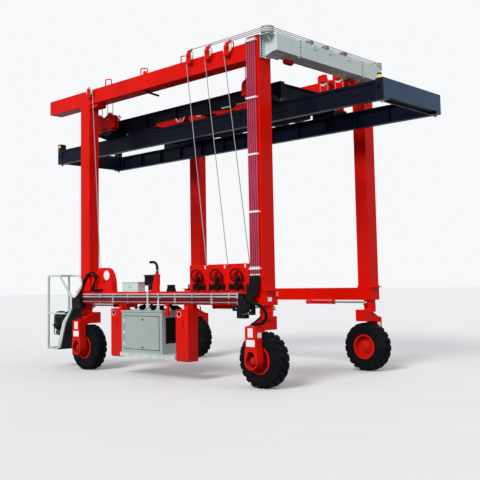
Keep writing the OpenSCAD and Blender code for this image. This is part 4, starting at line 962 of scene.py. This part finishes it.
def yoke_trim():
    for n, sx, sy in CORNERS:
        outer, out = sy * 2.49, (0, sy, 0)
        x, pin = sx * WHEEL_X, (sx * KINGPIN_X, sy * WHEEL_Y)
        red, white, black = Shape(), Shape(), Shape()
        red.bolts(around((x, sy * 2.362, AXLE_Z), 0.125, angles(8)), out, 0.011)
        red.cap((x, sy * 2.42, AXLE_Z), out, (0.06, 0.02), (0.045, 0.03))
        rim = recess(x, sy * 2.485, 0.005)
        red.tube(rim + [rim[0]], 0.007, 6)
        shoulder = sx * 3.125
        red.weld([(shoulder, sy * 2.34, 1.395), (shoulder, outer, 1.362), (sx * 3.435, outer, 1.362)], 0.005)
        red.turn([(0.152, 0), (0.158, 0.008), (0.158, 0.03), (0.152, 0.038)], (*pin, 1.66), UP, 40)
        red.bolts(around((*pin, 1.69), 0.15, angles(6), FLAT), UP, 0.009)
        make(f"{n}_yoke_bolts", red, "red_paint", f"{n}_yoke")
        skin = sorted((outer, outer + sy * 0.001))
        for half, low, high in ((0.075, 1.14, 1.34), (0.125, 0.94, 1.085)):
            white.box((x - half, skin[0], low), (x + half, skin[1], high), 0.001)
        ends = sorted((x + sx * 0.16, x + sx * 0.163))
        across = sorted((sy * 2.3, sy * 2.43))
        white.box((ends[0], across[0], 1.13), (ends[1], across[1], 1.24), 0.001)
        make(f"{n}_yoke_plates", white, "white_plate", f"{n}_yoke")
        black.cap((sx * KINGPIN_X, sy * 1.897, 1.74), (0, -sy, 0), (0.012, 0.02), (0.006, 0.03), 10)
        # A black plate deep in the hub recess: painted shade for the recess's dark inside.
        plate = [(q[0], q[2]) for q in recess(x, outer, -0.005)]
        black.prism(plate, 1, *sorted((sy * 2.35, sy * 2.368)))
        black.hose([(x - 0.04, sy * 2.27, 1.4), (x - 0.02, sy * 2.3, 1.46), (x + 0.04, sy * 2.26, 1.52),
                    (x + 0.07, sy * 2.2, 1.6)], 0.018)
        make(f"{n}_yoke_hoses_and_recess_shade", black, "hose", f"{n}_yoke")


def cylinder_trim():
    """Gland rings with their bolts, and the ports, of the steering cylinders."""
    shape, steel = Shape(), Shape()
    z = 1.775
    for sy in (-1, 1):
        y = sy * 1.815
        for sx in (-1, 1):
            for x in (1.5, 2.39):
                shape.collar((sx * x, y, z), ALONG, 0.05, 0.058, 0.02)
                shape.bolts(around((sx * (x + 0.018), y, z), 0.04, (0.8, 2.36, 3.93, 5.5), ((0, 1, 0), UP)),
                            (sx, 0, 0), 0.006)
            for x in (1.58, 2.3):
                steel.cap((sx * x, y - sy * 0.048, z), (0, -sy, 0), (0.014, 0.03), (0.01, 0.04), 6)
    make("cylinder_glands", shape, "red_paint")
    make("cylinder_ports", steel, "steel")


wheel_trim()
yoke_trim()
cylinder_trim()

# Spreader: its underside and top, its web, and its end's face
SPREADER_Z = (6.19, 6.63)
WEB_Y, END_X = 1.159, 6.089


def spreader_trim():
    navy, steel, amber = Shape(), Shape(), Shape()
    under, top = SPREADER_Z
    for sy in (-1, 1):
        web, lip, inner = sy * WEB_Y, sy * 1.194, sy * 1.075
        for k in range(13):
            x = -5.7 + 0.95 * k
            outside = [(lip, under + 0.17), (web, under + 0.15), (web, top - 0.06), (lip, top - 0.08)]
            inside = [(web, under + 0.05), (inner, under + 0.03), (inner, top - 0.03), (web, top - 0.05)]
            for rib in (outside, inside):
                navy.prism(rib, 0, x - 0.006, x + 0.006)
        navy.bolts([(x, sy * 1.219, 6.23) for x in (-5.8, -5.5, -4.9, 4.9, 5.5, 5.8)], (0, sy, 0), 0.012)
        navy.tube([(-5.85, sy * 1.182, 6.36), (5.85, sy * 1.182, 6.36)], 0.014, 8)
        for x in (-4.4, -2.2, 0.0, 2.2, 4.4):
            navy.box((x - 0.02, sy * 1.18 - 0.02, 6.34), (x + 0.02, sy * 1.18 + 0.02, 6.38), 0.003)
    for sx in (-1, 1):
        for sy in (-1, 1):
            spots = [(sx * END_X, sy * 1.129 + dy, under + dz) for dy in (-0.06, 0.06) for dz in (0.05, 0.38)]
            navy.bolts(spots, (sx, 0, 0), 0.012)
        navy.bolts(row((sx * END_X, -0.9, 6.6), (sx * END_X, 0.9, 6.6), 7), (sx, 0, 0), 0.01)
        for y in (-1.165, 1.153):
            navy.prism([(sx * 5.896, 6.25), (sx * 5.62, 6.25), (sx * 5.896, 6.58)], 1, y, y + 0.012)
    steel.box((-6.085, -1.233, 6.785), (-5.925, -1.05, 6.825), 0.006)
    amber.box((-6.068, -1.231, 6.715), (-5.942, -1.215, 6.785), 0.004)
    amber.box((-6.099, -1.2, 6.715), (-6.085, -1.08, 6.785), 0.004)
    beacon = (5.96, -1.15, top)
    steel.turn([(0.075, 0), (0.075, 0.03), (0.055, 0.04)], beacon, UP)
    amber.turn([(0.055, 0.03), (0.06, 0.06), (0.055, 0.1), (0.04, 0.12), (0, 0.12)], beacon, UP)
    steel.turn([(0.05, 0.115), (0.058, 0.125), (0.05, 0.15), (0, 0.155)], beacon, UP)
    make("spreader_ribs", navy, "navy_paint", "spreader")
    make("lamp_caps", steel, "black_paint", "spreader")
    make("spreader_lamps", amber, "amber", "spreader")


# Lifting frame: the middles of the sheave blocks, and how far a block's two sheaves stand from them
BLOCK_X = (-3.25, 2.75)
BLOCK_Y, SHEAVE_X = 1.5, 0.25
TRAYS = ([(-1.35, 6.72), (-1.02, 6.634), (-0.26, 6.66), (-0.13, 6.8), (-1.3, 6.8)],
         [(-0.02, 6.7), (0.05, 6.64), (0.4, 6.635), (0.72, 6.66), (0.4, 6.755), (0.05, 6.8)],
         [(0.83, 6.765), (1.09, 6.64), (1.51, 6.66), (1.51, 6.72)],
         [(1.56, 6.7), (1.8, 6.645), (2.2, 6.68), (2.2, 6.8), (1.8, 6.8)])


def block_trim(navy, red, white, steel, sy, bx):
    """Bolts, pin nuts, gussets, the pan below and the cheek plates of one pair of blocks."""
    y = sy * BLOCK_Y
    red.bolts([(bx + dx, y + sy * dy, 6.83) for dx in (-0.35, 0.0, 0.35) for dy in (-0.042, 0.042)], UP, 0.01)
    for s in (-1, 1):
        for way in (-1, 1):
            nut = (bx + s * SHEAVE_X, y + way * 0.056, 7.2)
            steel.cap(nut, (0, way, 0), (0.036, 0.01), (0.022, 0.016), 6)
    gusset = [(sy * 1.18, 6.64), (sy * 1.52, 6.71), (sy * 1.52, 6.66), (sy * 1.18, 6.6)]
    for x in (bx - 0.2, bx + 0.188):
        navy.prism(gusset, 0, x, x + 0.012)
    pan = arc((bx + 0.18, sy * 1.53, 6.8), 0.25, 180, 360, 16, (ALONG, (0, 0, 0.62)))
    steel.prism([(q[0], q[2]) for q in pan], 1, sy * 1.545, sy * 1.562)
    cheek = [(0.24, 6.86), (0.24, 7.13), (0.215, 7.19), (0.15, 7.24), (0.06, 7.262)]
    for s in (-1, 1):
        if bx > 0 and s > 0:
            continue
        mid = bx + s * SHEAVE_X + 0.04
        for way in (-1, 1):
            face = y + way * 0.072
            red.prism(mirrored(cheek, mid), 1, y + way * 0.06, face)
            white.turn([(0.018, 0), (0.018, 0.008), (0, 0.01)], (mid - 0.05, face, 7.12), (0, way, 0), 12)
            red.bolts([(mid - 0.18, face, 6.9), (mid + 0.18, face, 6.9)], (0, way, 0), 0.012)


def beam_trim(navy, steel, sy):
    """End plate, gap fillers, eye and hook of one lifting beam."""
    slope, low = [(-2.8, 6.745), (-2.4, 6.632)], 6.632
    navy.prism([(-3.42, 6.76), (-3.08, 6.76), (-3.08, 7.155), (-3.3, 7.155), (-3.42, 7.00)],
               1, sy * 1.125, sy * 1.145)
    navy.prism(slope + [(2.4, low), (2.4, 6.745)], 1, sy * 0.985, sy * 1.0)
    navy.prism(slope + [(-1.36, low), (-1.36, 6.745)], 1, sy * 1.125, sy * 1.14)
    y = sy * 1.19
    steel.tube(arc((-3.12, y, 6.7), 0.062, 0, 360, 20), 0.026, 8)
    steel.box((-3.16, y - 0.02, 6.6), (-3.08, y + 0.02, 6.65), 0.006)
    y = sy * 1.3
    steel.tube(arc((-2.84, y, 7.19), 0.05, 0, 360, 16), 0.016, 8)
    steel.box((-2.86, y - 0.012, 7.1), (-2.82, y + 0.012, 7.15), 0.004)
    steel.box((-2.88, sy * 1.225 - 0.1, 7.08), (-2.8, sy * 1.225 + 0.1, 7.1), 0.004)


def tray_trim(red, white, sy):
    """The trays under one lifting beam, with their clips and pins."""
    for tray in TRAYS:
        red.prism(tray, 1, sy * 1.00, sy * 1.185)
    y = sy * 1.19
    white.tube(arc((-0.39, y, 6.8), 0.1, 180, 330, 10), 0.018, 8)
    white.tube([(-0.26, y, 6.67), (-0.15, y, 6.8)], 0.014, 8)
    white.box((0.31, y - 0.01, 6.715), (0.47, y + 0.01, 6.745), 0.006)
    white.box((1.22, sy * 1.17 - 0.01, 6.785), (1.53, sy * 1.17 + 0.01, 6.815), 0.006)
    for k in range(5):
        white.cap((1.78 + 0.09 * k, sy * 1.16, 6.8), UP, (0.022, 0.02), (0.012, 0.03), 10)


def lifting_trim():
    navy, red, white, steel, guards = (Shape() for _ in range(5))
    for sy in (-1, 1):
        navy.bolts([(x, sy * WEB_Y, 6.7) for x in (-2.9, -2.75, 2.55, 2.7)], (0, sy, 0), 0.012)
        navy.bolts([(-3.0 + 0.285 * k, sy * 1.09, 7.16) for k in range(22)], UP, 0.01)
        for bx in BLOCK_X:
            block_trim(navy, red, white, steel, sy, bx)
        beam_trim(navy, steel, sy)
    for sy in (-1, 1):
        tray_trim(red, white, sy)
        for x in (bx + s * SHEAVE_X for bx in BLOCK_X for s in (-1, 1)):
            guards.prism(mirrored([(0.16, 7.7), (0.16, 7.86), (0.1, 7.9)], x), 1, sy * 1.432, sy * 1.442)
            guards.bolts([(x - 0.12, sy * 1.432, 7.82), (x + 0.12, sy * 1.432, 7.82)], (0, -sy, 0), 0.01)
    make("lifting_bolts", navy, "navy_paint", "spreader")
    make("sheave_guards", guards, "red_paint")
    make("lifting_guides", red, "red_paint", "spreader")
    make("lifting_shackles", steel, "black_paint", "spreader")
    make("lifting_clips", white, "zinc", "spreader")


def fall_ropes():
    """The falls between the upper sheaves and the blocks."""
    lo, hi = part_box("hoist_falls")
    rope_r = 0.01
    pitch = (hi[0] - rope_r - BLOCK_X[1]) / 3
    falls = Shape()
    for y in (lo[1] + rope_r, hi[1] - rope_r):
        for bx in BLOCK_X:
            for s in (-3, -1, 1, 3):
                falls.tube([(bx + s * pitch, y, lo[2]), (bx + s * pitch, y, hi[2])], rope_r, 12)
    piece = make("fall_ropes", falls, "rope", None)
    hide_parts("hoist_falls")
    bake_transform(piece)


spreader_trim()
lifting_trim()
fall_ropes()

# Cab: seat, controls, mat and bolts, placed from the left near lower corner, or from its middle across
CAB_LO, CAB_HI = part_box("cab_frame")
CAB_MID = middle("cab_frame")[1]


def cab(x, y, z):
    """A place in the cab: y is counted from the middle of its width."""
    return (CAB_LO[0] + x, CAB_MID + y, CAB_LO[2] + z)


def cushion(shape, lo, hi, channels=3, axis=0):
    """A crowned pad: a cube pushed towards a superellipsoid, with sewn channels across it."""
    power, n = 3.2, 14
    mid = [(lo[i] + hi[i]) / 2 for i in range(3)]
    half = [(hi[i] - lo[i]) / 2 for i in range(3)]
    thin = half.index(min(half))
    faces = [[p * (n + 1) + q, (p + 1) * (n + 1) + q, (p + 1) * (n + 1) + q + 1, p * (n + 1) + q + 1]
             for p in range(n) for q in range(n)]
    for a, s in itertools.product(range(3), (-1, 1)):
        grid = []
        for p, q in itertools.product(range(n + 1), repeat=2):
            v = [0, 0, 0]
            v[a], v[(a + 1) % 3], v[(a + 2) % 3] = s, -1 + 2 * p / n, -1 + 2 * q / n
            length = sum(abs(c) ** power for c in v) ** (1 / power)
            v = [c / length for c in v]
            v[thin] *= 0.94 + 0.06 * abs(math.sin(math.pi * channels * (v[axis] + 1) / 2))
            grid.append([mid[i] + half[i] * v[i] for i in range(3)])
        shape.add(grid, faces)


def cab_seat():
    pad, back, base = Shape(), Shape(), Shape()
    cushion(pad, cab(0.1, -0.23, 0.42), cab(0.52, 0.23, 0.55))
    cushion(back, cab(0.06, -0.22, 0.52), cab(0.18, 0.22, 1.08), channels=4, axis=2)
    base.turn([(0.16, 0), (0.16, 0.015), (0.07, 0.03), (0.07, 0.1), (0.085, 0.11), (0.085, 0.14),
               (0.07, 0.15), (0.07, 0.3), (0.12, 0.33), (0.12, 0.36), (0, 0.36)], cab(0.24, 0, 0.04), UP, 28)
    base.box(cab(0.09, -0.2, 0.4), cab(0.48, 0.2, 0.43), 0.008)
    for y in (-0.255, 0.255):
        base.box(cab(0.12, y - 0.03, 0.66), cab(0.46, y + 0.03, 0.71), 0.015)
        base.tube([cab(0.17, y, 0.44), cab(0.17, y, 0.67)], 0.014, 10)
        base.hose([cab(0.42, y, 0.7), cab(0.42, y, 0.76), cab(0.43, y, 0.8)], 0.01)
        base.turn([(0, -0.03), (0.018, -0.022), (0.024, 0), (0.018, 0.022), (0, 0.03)],
                  cab(0.43, y, 0.82), UP, 16)
    piece = make("seat_pad", pad, "seat_cover", sharp=70)
    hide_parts("cab_seat")
    make("seat_back", back, "seat_cover", sharp=70)
    make("seat_frame", base, "black_paint")


def cab_controls():
    """The mat's ribs, the console on its stem and the wheel above it."""
    black, steel, trim = Shape(), Shape(), Shape()
    x0, z0 = CAB_LO[0], CAB_LO[2]
    for k in range(9):
        y = CAB_LO[1] + 0.09 + 0.068 * k
        black.box((x0 + 0.07, y, z0 + 0.04), (x0 + 0.46, y + 0.03, z0 + 0.046), 0.002)
    black.box(cab(0.56, -0.26, 0.86), cab(0.8, 0.26, 1.02), 0.02)
    black.hose([cab(0.5, 0, 0.05), cab(0.56, 0, 0.45), cab(0.66, 0, 0.88)], 0.035, 14)
    black.turn([(0.1, 0), (0.14, 0.01), (0.15, 0.02), (0.14, 0.03), (0.1, 0.03)], cab(0.6, 0, 1.03),
               (-0.35, 0, 1), 32, True)
    for k in range(4):
        steel.turn([(0.012, 0), (0.012, 0.012), (0, 0.014)], cab(0.66, -0.18 + 0.12 * k, 1.02), UP, 14)
    make("cab_controls", black, "black_paint")
    make("cab_buttons", steel, "steel")
    for y, out in ((CAB_LO[1] - 0.001, -1), (CAB_HI[1] + 0.001, 1)):
        trim.bolts([(x0 + 0.025, y, z0 + z) for z in (0.25, 0.8, 1.4, 2.0)], (0, out, 0), 0.008)
        trim.bolts([(x0 + 0.57, y, z0 + 2.105), (x0 + 0.3, y, z0 + 2.105)], (0, out, 0), 0.008)
    make("cab_bolts", trim, "pale_paint")


def mount_trim():
    """The cab mount's bolts and the box under it, the handrail, and the lamp and plate on the right end."""
    shape, rail, orange, plate = (Shape() for _ in range(4))
    shape.bolts([(x, -2.4, z) for x in (-3.56, -3.45, -3.34, -3.26) for z in (1.87, 1.97)], NEAR, 0.011)
    shape.box((-3.605, -2.402, 1.69), (-3.18, -2.25, 1.842), 0.01)
    y = -2.375
    rail.hose([(-3.62, y + 0.005, 2.625), (-3.42, y, 2.62), (-3.27, y, 2.57), (-3.195, y, 2.46),
               (-3.18, y, 2.33), (-3.29, y, 2.18), (-3.42, y, 2.06), (-3.52, y, 1.99)], 0.026, 12)
    orange.box((3.552, -1.94, 2.03), (3.59, -1.86, 2.15), 0.012)
    plate.box((3.55, -2.19, 1.92), (3.553, -2.05, 2.01), 0.001)
    make("cab_handrail", rail, "pale_paint")
    make("mount_bolts", shape, "black_paint")
    make("side_lamp", orange, "orange_lens")
    make("end_plate", plate, "white_plate")


cab_seat()
cab_controls()
mount_trim()


# Stage: a pale floor, a pale sky and soft light
def seen_directly(tree):
    """1 for the camera's rays and for those of mirrors and glass, in a node tree."""
    path = tree.nodes.new("ShaderNodeLightPath")
    seen = path.outputs["Is Camera Ray"]
    for ray in ("Is Glossy Ray", "Is Transmission Ray"):
        either = tree.nodes.new("ShaderNodeMath")
        either.operation = "MAXIMUM"
        tree.links.new(seen, either.inputs[0])
        tree.links.new(path.outputs[ray], either.inputs[1])
        seen = either.outputs[0]
    return seen


def add_floor():
    size = 150
    mesh = bpy.data.meshes.new("floor")
    corners = [(-size, -size, 0), (size, -size, 0), (size, size, 0), (-size, size, 0)]
    mesh.from_pydata(corners, [], [(0, 1, 2, 3)])
    floor = bpy.data.objects.new("floor", mesh)
    scene.collection.objects.link(floor)
    m = Nodes("floor")
    pale = m.mix(m.ramp(m.noise(0.35, 6), 0.3, 0.7), (0.72, 0.72, 0.72), (0.695, 0.695, 0.7))
    m.set(Base_Color=m.mix(seen_directly(m.tree), (0.1, 0.1, 0.105), pale), Roughness=0.85)
    mesh.materials.append(m.mat)


def add_sky():
    world = bpy.data.worlds.new("sky")
    scene.world = world
    world.use_nodes = True
    tree = world.node_tree
    tree.nodes.clear()
    out = tree.nodes.new("ShaderNodeOutputWorld")
    mix = tree.nodes.new("ShaderNodeMixShader")
    tree.links.new(seen_directly(tree), mix.inputs[0])
    for socket, colour, strength in ((1, (0.93, 0.96, 1.0, 1), 0.55), (2, (0.93, 0.94, 0.96, 1), 1.0)):
        sky = tree.nodes.new("ShaderNodeBackground")
        sky.inputs["Color"].default_value = colour
        sky.inputs["Strength"].default_value = strength
        tree.links.new(sky.outputs[0], mix.inputs[socket])
    tree.links.new(mix.outputs[0], out.inputs[0])


def add_light(name, strength, angle, turn):
    data = bpy.data.lights.new(name, "SUN")
    data.energy = strength
    data.angle = math.radians(angle)
    lamp = bpy.data.objects.new(name, data)
    lamp.rotation_euler = [math.radians(a) for a in turn]
    scene.collection.objects.link(lamp)


add_floor()
add_sky()
add_light("key", 2.75, 25, (54, 0, 10))
add_light("fill", 0.8, 60, (62, 0, 95))
